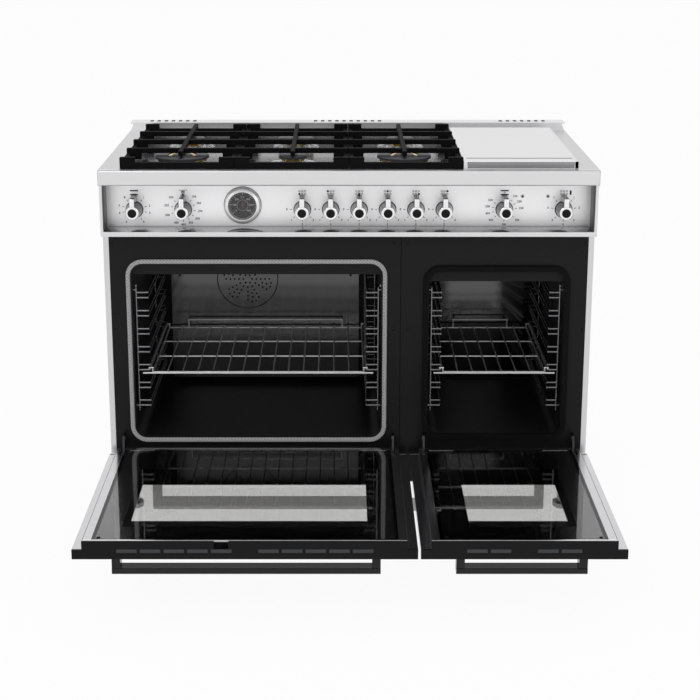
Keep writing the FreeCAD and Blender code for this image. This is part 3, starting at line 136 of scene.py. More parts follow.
# %% [markdown]
# The floor is a pale sweep with no edge in view. It is mostly self-lit for the camera, so it
# stays white, and the rest of it is plain paint that takes the range's soft shadow.

# %% The floor
FLOOR_SIZE = 60.0
FLOOR_GLOW = 0.93


def seen_rays(tree):
    """1 for the rays that show a surface: the camera's, a reflection's and those through glass."""
    path = add(tree, "ShaderNodeLightPath").outputs
    seen = path["Is Camera Ray"]
    for ray in ("Is Glossy Ray", "Is Transmission Ray"):
        seen = add(tree, "ShaderNodeMath", {"operation": "MAXIMUM"}, n0=seen, n1=path[ray]).outputs[0]
    return seen


def studio_floor():
    """A wide floor: white to look at, and matt paint where the range shades it."""
    mesh = bpy.data.meshes.new("studio_floor")
    shape = bmesh.new()
    bmesh.ops.create_grid(shape, x_segments=1, y_segments=1, size=FLOOR_SIZE / 2)
    shape.to_mesh(mesh)
    shape.free()
    floor = bpy.data.objects.new("studio_floor", mesh)
    bpy.context.scene.collection.objects.link(floor)
    tree = new_finish("pale_floor_paint")
    paint = add(tree, "ShaderNodeBsdfDiffuse", Color=linear("#f4f4f4"))
    glow = add(tree, "ShaderNodeEmission", Color=linear("#ffffff"), Strength=1.0)
    share = add(tree, "ShaderNodeMath", {"operation": "MULTIPLY"}, n0=seen_rays(tree), n1=FLOOR_GLOW)
    mix = add(tree, "ShaderNodeMixShader", n0=share.outputs[0], n1=paint.outputs[0], n2=glow.outputs[0])
    add(tree, "ShaderNodeOutputMaterial", Surface=mix.outputs[0])
    mesh.materials.append(FINISHES["pale_floor_paint"])


studio_floor()
print("a floor", FLOOR_SIZE, "m wide")

# %% [markdown]
# The world is a grey studio for diffuse light, and white where polished metal or glass looks at
# it. Light Path tells the two apart.

# %% The world
STUDIO_GREY = 0.72


def studio_world():
    """A plain world, brighter to the rays that look at it than as a lamp."""
    world = bpy.data.worlds.new("studio_world")
    bpy.context.scene.world = world
    world.use_nodes = True
    tree = world.node_tree
    tree.nodes.clear()
    level = add(tree, "ShaderNodeMapRange", Value=seen_rays(tree), n3=STUDIO_GREY, n4=1.0)
    sky = add(tree, "ShaderNodeBackground", Color=linear("#ffffff"), Strength=level.outputs[0])
    add(tree, "ShaderNodeOutputWorld", Surface=sky.outputs[0])


studio_world()
print("a world of", STUDIO_GREY)

# %% [markdown]
# Three large square lamps give soft light at a plain level: a key lamp from the left, a fill
# lamp from the right and a faint one from above. Each has a place, a size and a power.

# %% Lamps
RANGE_MIDDLE = Vector((0, 0, 0.5))
LAMPS = {
    "key_lamp": ((-1.9, -3.0, 3.1), 2.4, 38.0),
    "fill_lamp": ((2.6, -2.4, 2.2), 2.4, 18.0),
    "top_lamp": ((0.2, 0.6, 4.2), 2.2, 5.0),
}


def studio_lamps():
    """Large square lamps, aimed at the middle of the range."""
    for name, (place, size, power) in LAMPS.items():
        lamp = bpy.data.lights.new(name, "AREA")
        lamp.shape = "SQUARE"
        lamp.size = size
        lamp.energy = power
        holder = bpy.data.objects.new(name, lamp)
        holder.location = place
        aim = RANGE_MIDDLE - Vector(place)
        holder.rotation_euler = aim.to_track_quat("-Z", "Y").to_euler()
        bpy.context.scene.collection.objects.link(holder)


studio_lamps()
print(len(LAMPS), "lamps")

# %% [markdown]
# The casing is austenitic stainless sheet, brushed along its length by an abrasive belt. The
# belt leaves scratches a few hundredths of a millimetre wide, far too fine for this picture, so
# the grain is drawn about ten times as coarse. Noise on Object coordinates gives it, stretched
# along the brushing. It moves the tone and the gloss a little and lifts the surface by microns.
# Bare metal has a metallic of 1. The panel's is lower, as its comment says.

# %% Brushed stainless steel
GRAIN_LONG = 90 * MM
GRAIN_FINE = 0.7 * MM
GRAIN_HIGH = 0.02 * MM
GLOSSIER, DULLER = 0.03, 0.04


def brushed_steel(name, dark, light, rough, along="x", metallic=1.0):
    """Belt-brushed sheet. Its scratches run along one axis."""
    tree = new_finish(name)
    stretch = [1 / (GRAIN_LONG if axis == along else GRAIN_FINE) for axis in "xyz"]
    place = add(tree, "ShaderNodeTexCoord").outputs["Object"]
    mapping = add(tree, "ShaderNodeMapping", Vector=place, Scale=stretch)
    brush = add(tree, "ShaderNodeTexNoise", Vector=mapping.outputs[0], Scale=1.0, Detail=3.0).outputs[0]
    gloss = add(tree, "ShaderNodeMapRange", Value=brush, n3=rough - GLOSSIER, n4=rough + DULLER)
    scratch = add(tree, "ShaderNodeBump", Height=brush, Strength=0.1, Distance=GRAIN_HIGH)
    two_tones(tree, brush, dark, light, Metallic=metallic, Roughness=gloss.outputs[0],
              Normal=scratch.outputs[0])


# Blasted with glass beads and lacquered for its print, it scatters part of the light and stays pale.
brushed_steel("blasted_stainless_panel", "#f8f8f9", "#fbfbfc", 0.36, metallic=0.72)
# The folded sheet of the rail, the panel's frame and the rear trim has a wide soft sheen.
brushed_steel("brushed_stainless_rail", "#d8d8d9", "#e0e0e1", 0.36)
# The lid is the same sheet, a touch brighter.
brushed_steel("brushed_stainless_lid", "#dadadb", "#e0e0e1", 0.36)
# The lid's front plate stands in the shade of the lid's edge and reads as a middle grey.
brushed_steel("brushed_stainless_shade", "#808081", "#8c8c8d", 0.34)
# The kick plate is coarser and duller, because nobody polishes it, and its darker tone is painted
# shade, as it stands back low under the range.
brushed_steel("brushed_stainless_kick_painted_shade", "#9a9a98", "#a4a4a2", 0.45)
# Side panels are brushed upwards, so their highlights run from top to bottom.
brushed_steel("brushed_stainless_upright", "#cdcdce", "#d8d8d9", 0.28, "z")
# Door sheet is finished with a finer belt from hinge to handle and mirrors the room softly.
brushed_steel("satin_stainless_door", "#c6c6c8", "#d4d4d6", 0.16, "y")
print(len(FINISHES), "finishes")

# %% [markdown]
# Two sheets of the same steel carry painted shade. The ledge under the panel is painted darker
# towards the panel, where the recess shades it. The cooktop is drawn in a press, which burnishes
# the floor of its pan, so that is glossier than the dull top; it is also painted darker than the
# pale top, as painted shade under the grates. In both, the place of a point mixes two tones, and
# a little noise breaks the change up.

# %% Stainless steel with painted shade
LEDGE_BACK, LEDGE_FRONT = 29 * MM, -38 * MM
WIPE_SIZE = 50 * MM
PAN_LOW, PAN_TOP = 900 * MM, 913 * MM


def ledge_with_painted_shade(name, dark, light):
    """Sheet with painted shade: dark at the back and lighter at the front, with soft marks of wiping."""
    tree = new_finish(name)
    place = add(tree, "ShaderNodeTexCoord").outputs["Object"]
    depth = add(tree, "ShaderNodeSeparateXYZ", Vector=place).outputs["Y"]
    wipe = add(tree, "ShaderNodeTexNoise", Vector=place, Scale=1 / WIPE_SIZE)
    share = add(tree, "ShaderNodeMapRange", Value=depth, n1=LEDGE_BACK, n2=LEDGE_FRONT, n3=0.0, n4=0.85)
    level = add(tree, "ShaderNodeMath", {"operation": "MULTIPLY_ADD"}, n0=wipe.outputs[0], n1=0.15,
                n2=share.outputs[0])
    two_tones(tree, level.outputs[0], dark, light, Metallic=1.0, Roughness=0.12)


def cooktop_with_painted_shade(name, floor, top):
    """Drawn sheet, burnished and painted darker as shade on the floor of the pan, pale and dull on top.
    """
    tree = new_finish(name)
    place = add(tree, "ShaderNodeTexCoord").outputs["Object"]
    height = add(tree, "ShaderNodeSeparateXYZ", Vector=place).outputs["Z"]
    mapping = add(tree, "ShaderNodeMapping", Vector=place,
                  Scale=(1 / GRAIN_LONG, 1 / GRAIN_FINE, 1 / GRAIN_FINE))
    brush = add(tree, "ShaderNodeTexNoise", Vector=mapping.outputs[0], Scale=1.0, Detail=3.0)
    share = add(tree, "ShaderNodeMapRange", Value=height, n1=PAN_LOW, n2=PAN_TOP, n3=0.0, n4=0.9)
    level = add(tree, "ShaderNodeMath", {"operation": "MULTIPLY_ADD"}, n0=brush.outputs[0], n1=0.1,
                n2=share.outputs[0])
    gloss = add(tree, "ShaderNodeMapRange", Value=share.outputs[0], n3=0.20, n4=0.36)
    two_tones(tree, level.outputs[0], floor, top, Metallic=1.0, Roughness=gloss.outputs[0])


# Painted shade: the ledge is dark at its back, under the panel.
ledge_with_painted_shade("stainless_ledge_painted_shade", "#1c1c1d", "#8e8e90")
# Painted shade: the pan's floor is darker under the grates.
cooktop_with_painted_shade("stainless_cooktop_painted_shade", "#848486", "#cacacb")
print(len(FINISHES), "finishes")

# %% [markdown]
# Castings, turned brass, plated wire and zinc-coated sheet have no grain that shows. What the
# eye sees is a faint cloudiness: the plating is thicker here, the zinc's crystals lie another
# way there. One noise at the real size of those clouds moves both tone and gloss. Chrome on a
# satin ground, as on the gauge's bezel, also scatters light, so it is less metallic.

# %% Cast, turned and plated metals
def cloudy_metal(name, dark, light, rough, cloud_size, metallic=1.0):
    """Metal whose tone and gloss drift from place to place."""
    tree = new_finish(name)
    place = add(tree, "ShaderNodeTexCoord").outputs["Object"]
    cloud = add(tree, "ShaderNodeTexNoise", Vector=place, Scale=1 / cloud_size, Detail=4.0).outputs[0]
    gloss = add(tree, "ShaderNodeMapRange", Value=cloud, n3=rough * 0.7, n4=rough * 1.3)
    two_tones(tree, cloud, dark, light, Metallic=metallic, Roughness=gloss.outputs[0])


# Beads, rims, rod tips and rivets are small sparks of mirror.
cloudy_metal("polished_steel", "#c4c4c6", "#e2e2e3", 0.10, 9 * MM)
# The collars behind the knobs are painted dark: painted shade and a painted reflection of the
# knobs' dark cones.
cloudy_metal("chrome_painted_dark_reflection", "#4c4c4e", "#727274", 0.14, 10 * MM)
# Painted highlight: the flat faces of the knobs are painted near white, as if they looked at the light.
cloudy_metal("chromed_zinc_painted_highlight", "#e6e6e6", "#f6f6f6", 0.20, 6 * MM)
# The bezel's satin chrome is pale from every side.
cloudy_metal("satin_chromed_bezel", "#ececec", "#f8f8f8", 0.34, 6 * MM, metallic=0.6)
# Painted reflection: the knobs' cones are painted dark, as if they mirrored the dark of the room.
cloudy_metal("chromed_zinc_painted_dark_reflection", "#222224", "#505052", 0.13, 10 * MM)
# Rack wire is pale and a little frosted.
cloudy_metal("nickel_plated_wire", "#b4b4b5", "#dcdcdd", 0.42, 12 * MM)
# Side racks stay in the oven, and the heat dulls them to grey.
cloudy_metal("dulled_guide_wire", "#5c5c5d", "#88888a", 0.26, 12 * MM)
# Phosphate turns hinge steel nearly black, with a soft shine.
cloudy_metal("phosphated_hinge_steel", "#2c2c2d", "#4c4c4e", 0.35, 8 * MM)
# The spill bowls are cool grey and satin.
cloudy_metal("cast_aluminium_bowl", "#989a9e", "#c4c6c9", 0.26, 14 * MM)
# Brass is warm, and bright from the lathe.
cloudy_metal("turned_brass", "#c69a44", "#f2dca0", 0.20, 5 * MM)
# Zinc on the rear panel and the tray is bluish, with wide pale spangles.
cloudy_metal("galvanised_sheet", "#84878a", "#b0b3b6", 0.42, 25 * MM)
# The shields lie in the shade between a door's two panes and read almost black.
cloudy_metal("aluminised_shield", "#1b1b1b", "#3a3a3a", 0.45, 14 * MM)
# Screws, legs and the fan are a half-bright middle grey.
cloudy_metal("zinc_plated_steel", "#87878a", "#b0b0b2", 0.34, 12 * MM)
# Mill scale makes the gas pipe a dull dark grey.
cloudy_metal("black_iron_pipe", "#4f5054", "#737478", 0.45, 12 * MM)
# The griddle is smooth grey plate with broad clouds.
cloudy_metal("rolled_griddle_steel", "#707174", "#909194", 0.38, 40 * MM)
print(len(FINISHES), "finishes")

# %% [markdown]
# The ovens and the fan's cover are pressed steel under black vitreous enamel, which is a thin
# layer of glass: smooth, glossy and with faint waves where it flowed. The burner caps and the
# grates carry a matt enamel over cast iron, whose grain still shows as a fine pebble. Powder
# coat, moulded plastic, rubber and printing are built the same way, with their own grain.

# %% Enamel, paint, plastic and rubber
def coated(name, dark, light, rough, gloss, grain, height, ior=1.5):
    """A coat over metal, or a moulded part. Gloss is the shader's specular level."""
    tree = new_finish(name)
    place = add(tree, "ShaderNodeTexCoord").outputs["Object"]
    grit = add(tree, "ShaderNodeTexNoise", Vector=place, Scale=1 / grain, Detail=5.0).outputs[0]
    shine = add(tree, "ShaderNodeMapRange", Value=grit, n3=rough * 0.85, n4=rough * 1.15)
    pebble = add(tree, "ShaderNodeBump", Height=grit, Strength=1.0, Distance=height)
    two_tones(tree, grit, dark, light, Roughness=shine.outputs[0], Specular_IOR_Level=gloss, IOR=ior,
              Normal=pebble.outputs[0])


# Black glass on the fan's cover, almost a mirror.
coated("fan_cover_enamel", "#030303", "#060606", 0.12, 0.80, 60 * MM, 0.01 * MM, 1.6)
# The liners' enamel, dulled by heat and cleaning.
coated("oven_enamel", "#101010", "#171717", 0.34, 0.15, 25 * MM, 0.02 * MM)
# The grates swallow light, and only their pebble shows.
coated("matt_enamelled_iron", "#0a0a0b", "#121213", 0.62, 0.04, 1.6 * MM, 0.05 * MM)
# The handles' lacquer is smooth, with one narrow highlight.
coated("satin_black_handle", "#0b0b0b", "#111111", 0.14, 0.30, 1.0 * MM, 0.01 * MM)
# The burner caps are bluish black with a soft gloss.
coated("satin_enamel_cap", "#232427", "#33353a", 0.40, 0.45, 1.2 * MM, 0.04 * MM)
# Door trims and knob plugs are black and half matt.
coated("black_moulded_plastic", "#070707", "#0c0c0c", 0.34, 0.16, 2 * MM, 0.02 * MM)
# A cloudy middle grey: painted shade on the recess's strips, and the dark line of the rail's seam.
coated("recess_shade_and_seam_grey", "#3c3c3d", "#5c5c5e", 0.40, 0.30, 60 * MM, 0.01 * MM)
# Rubber seals and pads are black and dull.
coated("black_silicone_rubber", "#050505", "#0a0a0a", 0.45, 0.08, 3 * MM, 0.05 * MM)
# The gauge's card is charcoal paper.
coated("dark_dial_paper", "#161618", "#202022", 0.50, 0.20, 8 * MM, 0.01 * MM)
# The needle's dull red shows only close by.
coated("red_needle_paint", "#5c2428", "#6c2c30", 0.40, 0.40, 4 * MM, 0.01 * MM)
# Screen ink lies matt on the bright panel.
coated("black_panel_ink", "#121212", "#1c1c1c", 0.60, 0.15, 2 * MM, 0.01 * MM)
# The paler spots and bars of the symbols.
coated("grey_panel_ink", "#6c6c6c", "#848484", 0.60, 0.20, 2 * MM, 0.01 * MM)
# The scale is printed in a soft white.
coated("white_dial_ink", "#b4b4b4", "#cccccc", 0.60, 0.20, 2 * MM, 0.01 * MM)
# Igniter sleeves are glazed, warm white.
coated("ceramic_insulator", "#d9d6cf", "#ebe9e3", 0.30, 0.50, 2 * MM, 0.02 * MM)
# Frit fired into glass is black and glossy.
coated("ceramic_frit_print", "#040404", "#080808", 0.20, 0.40, 3 * MM, 0.005 * MM)
# Painted shade: flat black for deep gaps, and for the dark joint of the ovens' plates, with no gloss at
# all.
coated("shadowed_black", "#030303", "#070707", 0.80, 0.0, 5 * MM, 0.01 * MM)
print(len(FINISHES), "finishes")

# %% [markdown]
# The main oven's seal is glass yarn braided over a spring, grey and matt. Its strands cross the
# rope both ways about every 4 mm. Two sets of diagonal waves, one leaning each way, make that
# plait on the upright runs and on the level ones alike, because both lie in one upright plane.
# One full wave takes two strands, and Blender multiplies a wave's place by ten and its scale.

# %% The braided seal
STRAND = 4.2 * MM
WAVE_SCALE = math.pi / (10 * STRAND)
FUZZ = 0.8 * MM


def braided_yarn(name, dark, light):
    """A rope of crossing strands, drawn by two diagonal waves."""
    tree = new_finish(name)
    place = add(tree, "ShaderNodeTexCoord").outputs["Object"]
    waves = []
    for lean in (1, -1):
        turn = add(tree, "ShaderNodeMapping", Vector=place, Scale=(1, 1, lean))
        wave = add(tree, "ShaderNodeTexWave", {"bands_direction": "DIAGONAL"}, Vector=turn.outputs[0],
                   Scale=WAVE_SCALE, Distortion=0.6)
        waves.append(wave.outputs["Fac"])
    plait = add(tree, "ShaderNodeMath", {"operation": "MAXIMUM"}, n0=waves[0], n1=waves[1])
    fuzz = add(tree, "ShaderNodeTexNoise", Vector=place, Scale=1 / FUZZ, Detail=3.0)
    both = add(tree, "ShaderNodeMath", {"operation": "MULTIPLY_ADD"}, n0=fuzz.outputs[0], n1=0.3,
               n2=plait.outputs[0])
    relief = add(tree, "ShaderNodeBump", Height=both.outputs[0], Strength=1.0, Distance=FUZZ)
    two_tones(tree, both.outputs[0], dark, light, Roughness=0.7, Normal=relief.outputs[0])


# Painted light and shade: each strand's back is painted light and the crossings dark, as light
# would fall on the plait.
braided_yarn("braided_glass_yarn", "#5c5c5c", "#a4a4a4")
print("a strand every", STRAND / MM, "mm")

# %% [markdown]
# The door panes are soda-lime float glass, and so is the gauge's. Real float glass is flat to a
# few microns over a hand's width, which is enough to bend a reflection, so a slow wave tilts the
# surface a little. Its IOR is 1.52, and it is set lower here, to 1.40, because with two panes
# in a row the room's reflection would hide the door's inside. The lamps' lenses are acrylic
# dyed through, dark while they are off.

# %% Glass and acrylic
PANE_WAVE = 120 * MM
DYE_CLOUD = 3 * MM


def float_glass(name, dark, light, wave_height):
    """Clear or tinted sheet glass."""
    tree = new_finish(name)
    place = add(tree, "ShaderNodeTexCoord").outputs["Object"]
    wave = add(tree, "ShaderNodeTexNoise", Vector=place, Scale=1 / PANE_WAVE).outputs[0]
    tilt = add(tree, "ShaderNodeBump", Height=wave, Strength=0.02, Distance=wave_height)
    two_tones(tree, wave, dark, light, Roughness=0.0, IOR=1.40, Transmission_Weight=1.0,
              Normal=tilt.outputs[0])


def dyed_acrylic(name, dark, light):
    """A small dark red lens under its own gloss."""
    tree = new_finish(name)
    place = add(tree, "ShaderNodeTexCoord").outputs["Object"]
    haze = add(tree, "ShaderNodeTexNoise", Vector=place, Scale=1 / DYE_CLOUD).outputs[0]
    two_tones(tree, haze, dark, light, Roughness=0.18, IOR=1.49, Coat_Weight=0.6)


# The two panes of a door take a little light away each time it goes through.
float_glass("tinted_door_glass", "#ededec", "#f1f1f0", 0.004 * MM)
# The gauge's thin pane takes almost none.
float_glass("clear_gauge_glass", "#f2f4f3", "#fafbfa", 0.01 * MM)
# A lamp that is off looks like a dark berry.
dyed_acrylic("red_acrylic_lens", "#4a1a22", "#5c222b")
print(len(FINISHES), "finishes")

# %% [markdown]
# Each node of the frame now gets the finish of the real piece. A node keeps its mesh, and the
# finish goes on its object's own slot, so two nodes never share a change by accident.

# %% Dress the frame's nodes
NODE_FINISH = {
    "blasted_stainless_panel": ["control_panel"],
    "stainless_cooktop_painted_shade": ["cooktop"],
    "brushed_stainless_kick_painted_shade": ["kick_plate"],
    "brushed_stainless_rail": ["rear_trim"],
    "brushed_stainless_upright": ["side_panels"],
    "satin_stainless_door": ["main_door_skin", "small_door_skin", "main_door_inner_frame",
                             "small_door_inner_frame"],
    "galvanised_sheet": ["rear_panel", "base_tray"],
    "zinc_plated_steel": ["levelling_legs", "fan_wheel", "fan_motor"],
    "phosphated_hinge_steel": ["main_door_hinges", "small_door_hinges"],
    # The collars' dark is painted shade and reflection.
    "chrome_painted_dark_reflection": ["knob_collars"],
    "satin_chromed_bezel": ["gauge_bezel"],
    "nickel_plated_wire": ["main_oven_rack", "small_oven_rack"],
    "dulled_guide_wire": ["rack_guides"],
    "black_iron_pipe": ["gas_manifold"],
    "turned_brass": ["burner_rings", "gas_valves"],
    "cast_aluminium_bowl": ["burner_bases"],
    "rolled_griddle_steel": ["griddle_plate"],
    "satin_enamel_cap": ["small_burner_caps", "rapid_burner_cap", "power_burner_caps"],
    "fan_cover_enamel": ["fan_cover"],
    "oven_enamel": ["main_oven_liner", "small_oven_liner"],
    "black_silicone_rubber": ["small_oven_gasket"],
    "tinted_door_glass": ["main_door_glass", "small_door_glass"],
    "clear_gauge_glass": ["gauge_lens"],
    "dark_dial_paper": ["gauge_dial"],
    "red_needle_paint": ["gauge_needle"],
    "red_acrylic_lens": ["indicator_lamps"],
}


def dress(name, finish):
    """Give a node's object a finish without touching its mesh."""
    for place in frame["nodes"][name].material_slots:
        place.link = "OBJECT"
        place.material = FINISHES[finish]


for finish, names in NODE_FINISH.items():
    for name in names:
        dress(name, finish)
print(sum(len(names) for names in NODE_FINISH.values()), "nodes dressed")

# %% [markdown]
# New pieces are drawn in millimetres and turned to metres as they are made. A block with its
# edges rounded and a profile spun about an axis are enough for plates, screws, caps and posts.

# %% Blocks and turned shapes
def at(x, y, z):
    """A shift in millimetres."""
    return Matrix.Translation((x * MM, y * MM, z * MM))


def about(axis, degrees):
    """A turn about an axis."""
    return Matrix.Rotation(math.radians(degrees), 4, axis)


FRONT = about("X", 90)


def block(shape, low, high, edge=0.0, place=Matrix()):
    """A block between two corners in millimetres, its edges rounded, then put in its place."""
    old = set(shape.verts)
    bmesh.ops.create_cube(shape, size=1.0)
    fresh = [vert for vert in shape.verts if vert not in old]
    bmesh.ops.scale(shape, vec=[(b - a) * MM for a, b in zip(low, high)], verts=fresh)
    bmesh.ops.translate(shape, vec=[(b + a) / 2 * MM for a, b in zip(low, high)], verts=fresh)
    if edge:
        edges = list({side for vert in fresh for side in vert.link_edges})
        bmesh.ops.bevel(shape, geom=edges, offset=edge * MM, offset_type="OFFSET", segments=2,
                        profile=0.5, affect="EDGES", material=-1)
        fresh = [vert for vert in shape.verts if vert not in old]
    bmesh.ops.transform(shape, matrix=place, verts=fresh)


def slab(shape, wide, deep, tall, edge=0.0):
    """A block from its spans along X, Y and Z."""
    block(shape, *zip(wide, deep, tall), edge)


def both_sides(shape, reach, deep, tall, edge):
    """The same slab left and right of the range, reach being its span from the middle."""
    for side in (-1, 1):
        slab(shape, sorted(side * x for x in reach), deep, tall, edge)


def turned(shape, profile, place=Matrix(), steps=24):
    """Spin a profile of (radius, height) points in millimetres about Z, then put it in its place."""
    old = set(shape.verts)
    points = [shape.verts.new((radius * MM, 0, height * MM)) for radius, height in profile]
    edges = [shape.edges.new(pair) for pair in zip(points, points[1:])]
    bmesh.ops.spin(shape, geom=points + edges, cent=(0, 0, 0), axis=(0, 0, 1), angle=2 * math.pi,
                   steps=steps, use_merge=True)
    fresh = [vert for vert in shape.verts if vert not in old]
    bmesh.ops.transform(shape, matrix=place, verts=fresh)


sample = bmesh.new()
block(sample, (0, 0, 0), (10, 10, 10), edge=1)
print("a rounded block has", len(sample.faces), "faces")
sample.free()

# %% [markdown]
# A finished piece is cleaned, smoothed where its faces meet softly, and given its finish and the
# body that it moves with. The record says which body carries a node.

# %% Finishing a piece
BODY_OF = {node: body for body, nodes in frame["record"]["behaviour"]["bodies"].items() for node in nodes}
WELD = 0.002
CREASE = math.radians(32)


def finish_piece(shape, name, finish, body, new=True):
    """Make the shape an object. New shapes are merged and turned outwards, copies are right already."""
    if new:
        bmesh.ops.remove_doubles(shape, verts=shape.verts, dist=WELD * MM)
        bmesh.ops.recalc_face_normals(shape, faces=shape.faces)
    for face in shape.faces:
        face.smooth = True
    mesh = bpy.data.meshes.new(name)
    shape.to_mesh(mesh)
    shape.free()
    mesh.set_sharp_from_angle(angle=CREASE)
    mesh.materials.append(FINISHES[finish])
    piece = bpy.data.objects.new(name, mesh)
    bpy.context.scene.collection.objects.link(piece)
    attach(piece, body)
    return piece


# %% [markdown]
# Sheet folded on a press brake, a cast grate and a moulded strip have no knife edges. A real
# edge catches a thin line of light, and a solid from CAD doesn't. So these nodes are copied,
# merged and cleaned, and their sharp edges are rounded a little. The seal of the main oven is
# rounded so far that it becomes a rope. The copy takes the node's place and stays inside it,
# because rounding an edge only takes material away. Widths are in millimetres.

# %% Round the edges of sheet, castings, mouldings and the seal
ROUNDINGS = {
    "front_rail": ("brushed_stainless_rail", 0.6),
    "control_frame": ("brushed_stainless_rail", 0.8),
    "griddle_lid": ("brushed_stainless_lid", 0.6),
    "left_grate": ("matt_enamelled_iron", 1.6),
    "middle_grate": ("matt_enamelled_iron", 1.6),
    "right_grate": ("matt_enamelled_iron", 1.6),
    "main_door_handle": ("satin_black_handle", 0.7),
    "small_door_handle": ("satin_black_handle", 0.7),
    "main_oven_gasket": ("braided_glass_yarn", 3.4),
    "main_door_top_trim": ("black_moulded_plastic", 0.4),
    "small_door_top_trim": ("black_moulded_plastic", 0.4),
}
COPY_WELD = 0.005
FLAT = math.radians(1)
SHARP = math.radians(40)


def rounded_copy(name, finish, width):
    """A copy of a node with its sharp edges rounded, in the node's place."""
    shape = bmesh.new()
    shape.from_mesh(frame["nodes"][name].data)
    bmesh.ops.remove_doubles(shape, verts=shape.verts, dist=COPY_WELD * MM)
    bmesh.ops.dissolve_limit(shape, angle_limit=FLAT, verts=shape.verts, edges=shape.edges)
    edges = [side for side in shape.edges if side.is_manifold and side.calc_face_angle(0) > SHARP]
    bmesh.ops.bevel(shape, geom=edges, offset=width * MM, offset_type="OFFSET", segments=2,
                    profile=0.5, affect="EDGES", clamp_overlap=True, material=-1)
    piece = finish_piece(shape, name + "_rounded", finish, BODY_OF[name], new=False)
    light = piece.modifiers.new("even_light", "WEIGHTED_NORMAL")
    light.keep_sharp = True
    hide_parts(name)
    return len(edges)


for name, (finish, width) in ROUNDINGS.items():
    print(name, rounded_copy(name, finish, width), "edges rounded")

# %% [markdown]
# A knob is a zinc casting, chromed all over. Its cone and the sides of its grip are painted dark,
# a painted reflection of the dark room, and its flat face is painted near white, a painted
# highlight as if it looked straight at the light.
# A black plug closes the screw hole in the middle. The face is a thin turned ring and a plate
# for the grip, laid on the casting, and the plug is a slightly domed disc.

# %% Knobs
KNOBS = [name for name in frame["nodes"] if name.endswith("_knob")]
KNOB_PLANE = -20.0
KNOB_AXIS_RISE = 20.5
FACE_PROUD = 0.6
FACE_RING = [(10.9, 0), (10.9, FACE_PROUD), (15.6, FACE_PROUD), (16.4, 0)]
GRIP_HALF, GRIP_FOOT, GRIP_TOP = 5.9, 14.0, 35.8
GRIP_EDGE = 0.4
PLUG = [(0, 0), (10.4, 0), (10.4, 0.5), (9.6, 1.0), (5.0, 1.5), (0, 1.6)]
PLUG_PROUD = 0.8


def knob_middle(name):
    """The X of a knob's axis and the height of it, in millimetres."""
    low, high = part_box(name)
    return (low[0] + high[0]) / 2 / MM, low[2] / MM + KNOB_AXIS_RISE


for name in KNOBS:
    x, z = knob_middle(name)
    on_knob = at(x, KNOB_PLANE, z)
    face = bmesh.new()
    turned(face, FACE_RING, on_knob @ FRONT, steps=40)
    block(face, (-GRIP_HALF, -FACE_PROUD, GRIP_FOOT), (GRIP_HALF, 0, GRIP_TOP), GRIP_EDGE, on_knob)
    finish_piece(face, name + "_face", "chromed_zinc_painted_highlight", BODY_OF[name])
    plug = bmesh.new()
    turned(plug, PLUG, at(x, KNOB_PLANE - PLUG_PROUD, z) @ FRONT, steps=40)
    finish_piece(plug, name + "_plug", "black_moulded_plastic", BODY_OF[name])
    # The knob's own cone and grip are painted dark as a reflection.
    dress(name, "chromed_zinc_painted_dark_reflection")
print(len(KNOBS), "knobs")

# %% [markdown]
# The panel is screen printed in dark ink, which lies a tenth of a millimetre proud here, so it
# stays visible from any side. Rings, bars and numbers are all that the print needs. A number is
# a text curve with a little thickness, turned into a mesh before it is laid on the panel.

# %% Ink on the panel
PANEL_PLANE = 29.5
INK = 0.12


def on_panel(x, z):
    """A place on the panel's face."""
    return at(x, PANEL_PLANE, z)


def number(shape, text, x, z, size):
    """A number as a thin mesh that faces the front, its strokes a little bolder than the font's."""
    curve = bpy.data.curves.new("number", "FONT")
    curve.body = text
    curve.size = size * MM
    curve.align_x = "CENTER"
    curve.align_y = "CENTER"
    curve.resolution_u = 2
    curve.extrude = INK * MM / 2
    curve.offset = size * MM / 40
    holder = bpy.data.objects.new("number", curve)
    bpy.context.scene.collection.objects.link(holder)
    flat = bpy.data.meshes.new_from_object(holder.evaluated_get(bpy.context.evaluated_depsgraph_get()))
    flat.transform(on_panel(x, z) @ at(0, -INK / 2, 0) @ FRONT)
    shape.from_mesh(flat)
    bpy.data.objects.remove(holder)
    bpy.data.curves.remove(curve)
    bpy.data.meshes.remove(flat)


def printed_ring(radius, hole):
    """The profile of a printed ring, or of a filled spot where the hole is nothing."""
    return [(hole, 0), (hole, INK), (radius, INK), (radius, 0)]


def spot(shape, x, z, radius, hole):
    """A printed ring or spot on the panel."""
    turned(shape, printed_ring(radius, hole), on_panel(x, z) @ FRONT, steps=16)


def bar(shape, x, z, wide, tall, place=Matrix()):
    """A printed bar about its own middle."""
    block(shape, (-wide / 2, -INK, -tall / 2), (wide / 2, 0, tall / 2), 0, on_panel(x, z) @ place)


def around(x, z, turn, reach):
    """The point that far from a knob's axis, at a turn clockwise from the top."""
    angle = math.radians(turn)
    return x + reach * math.sin(angle), z + reach * math.cos(angle)


print("ink", INK, "mm thick")

# %% [markdown]
# Marks round a knob say how far it is turned. Here they are ticks and plain numbers. Turns are
# in degrees clockwise from the top. A long number that stands beside its knob, 30 degrees or
# more from the upright, is set further out so that it doesn't touch its tick.

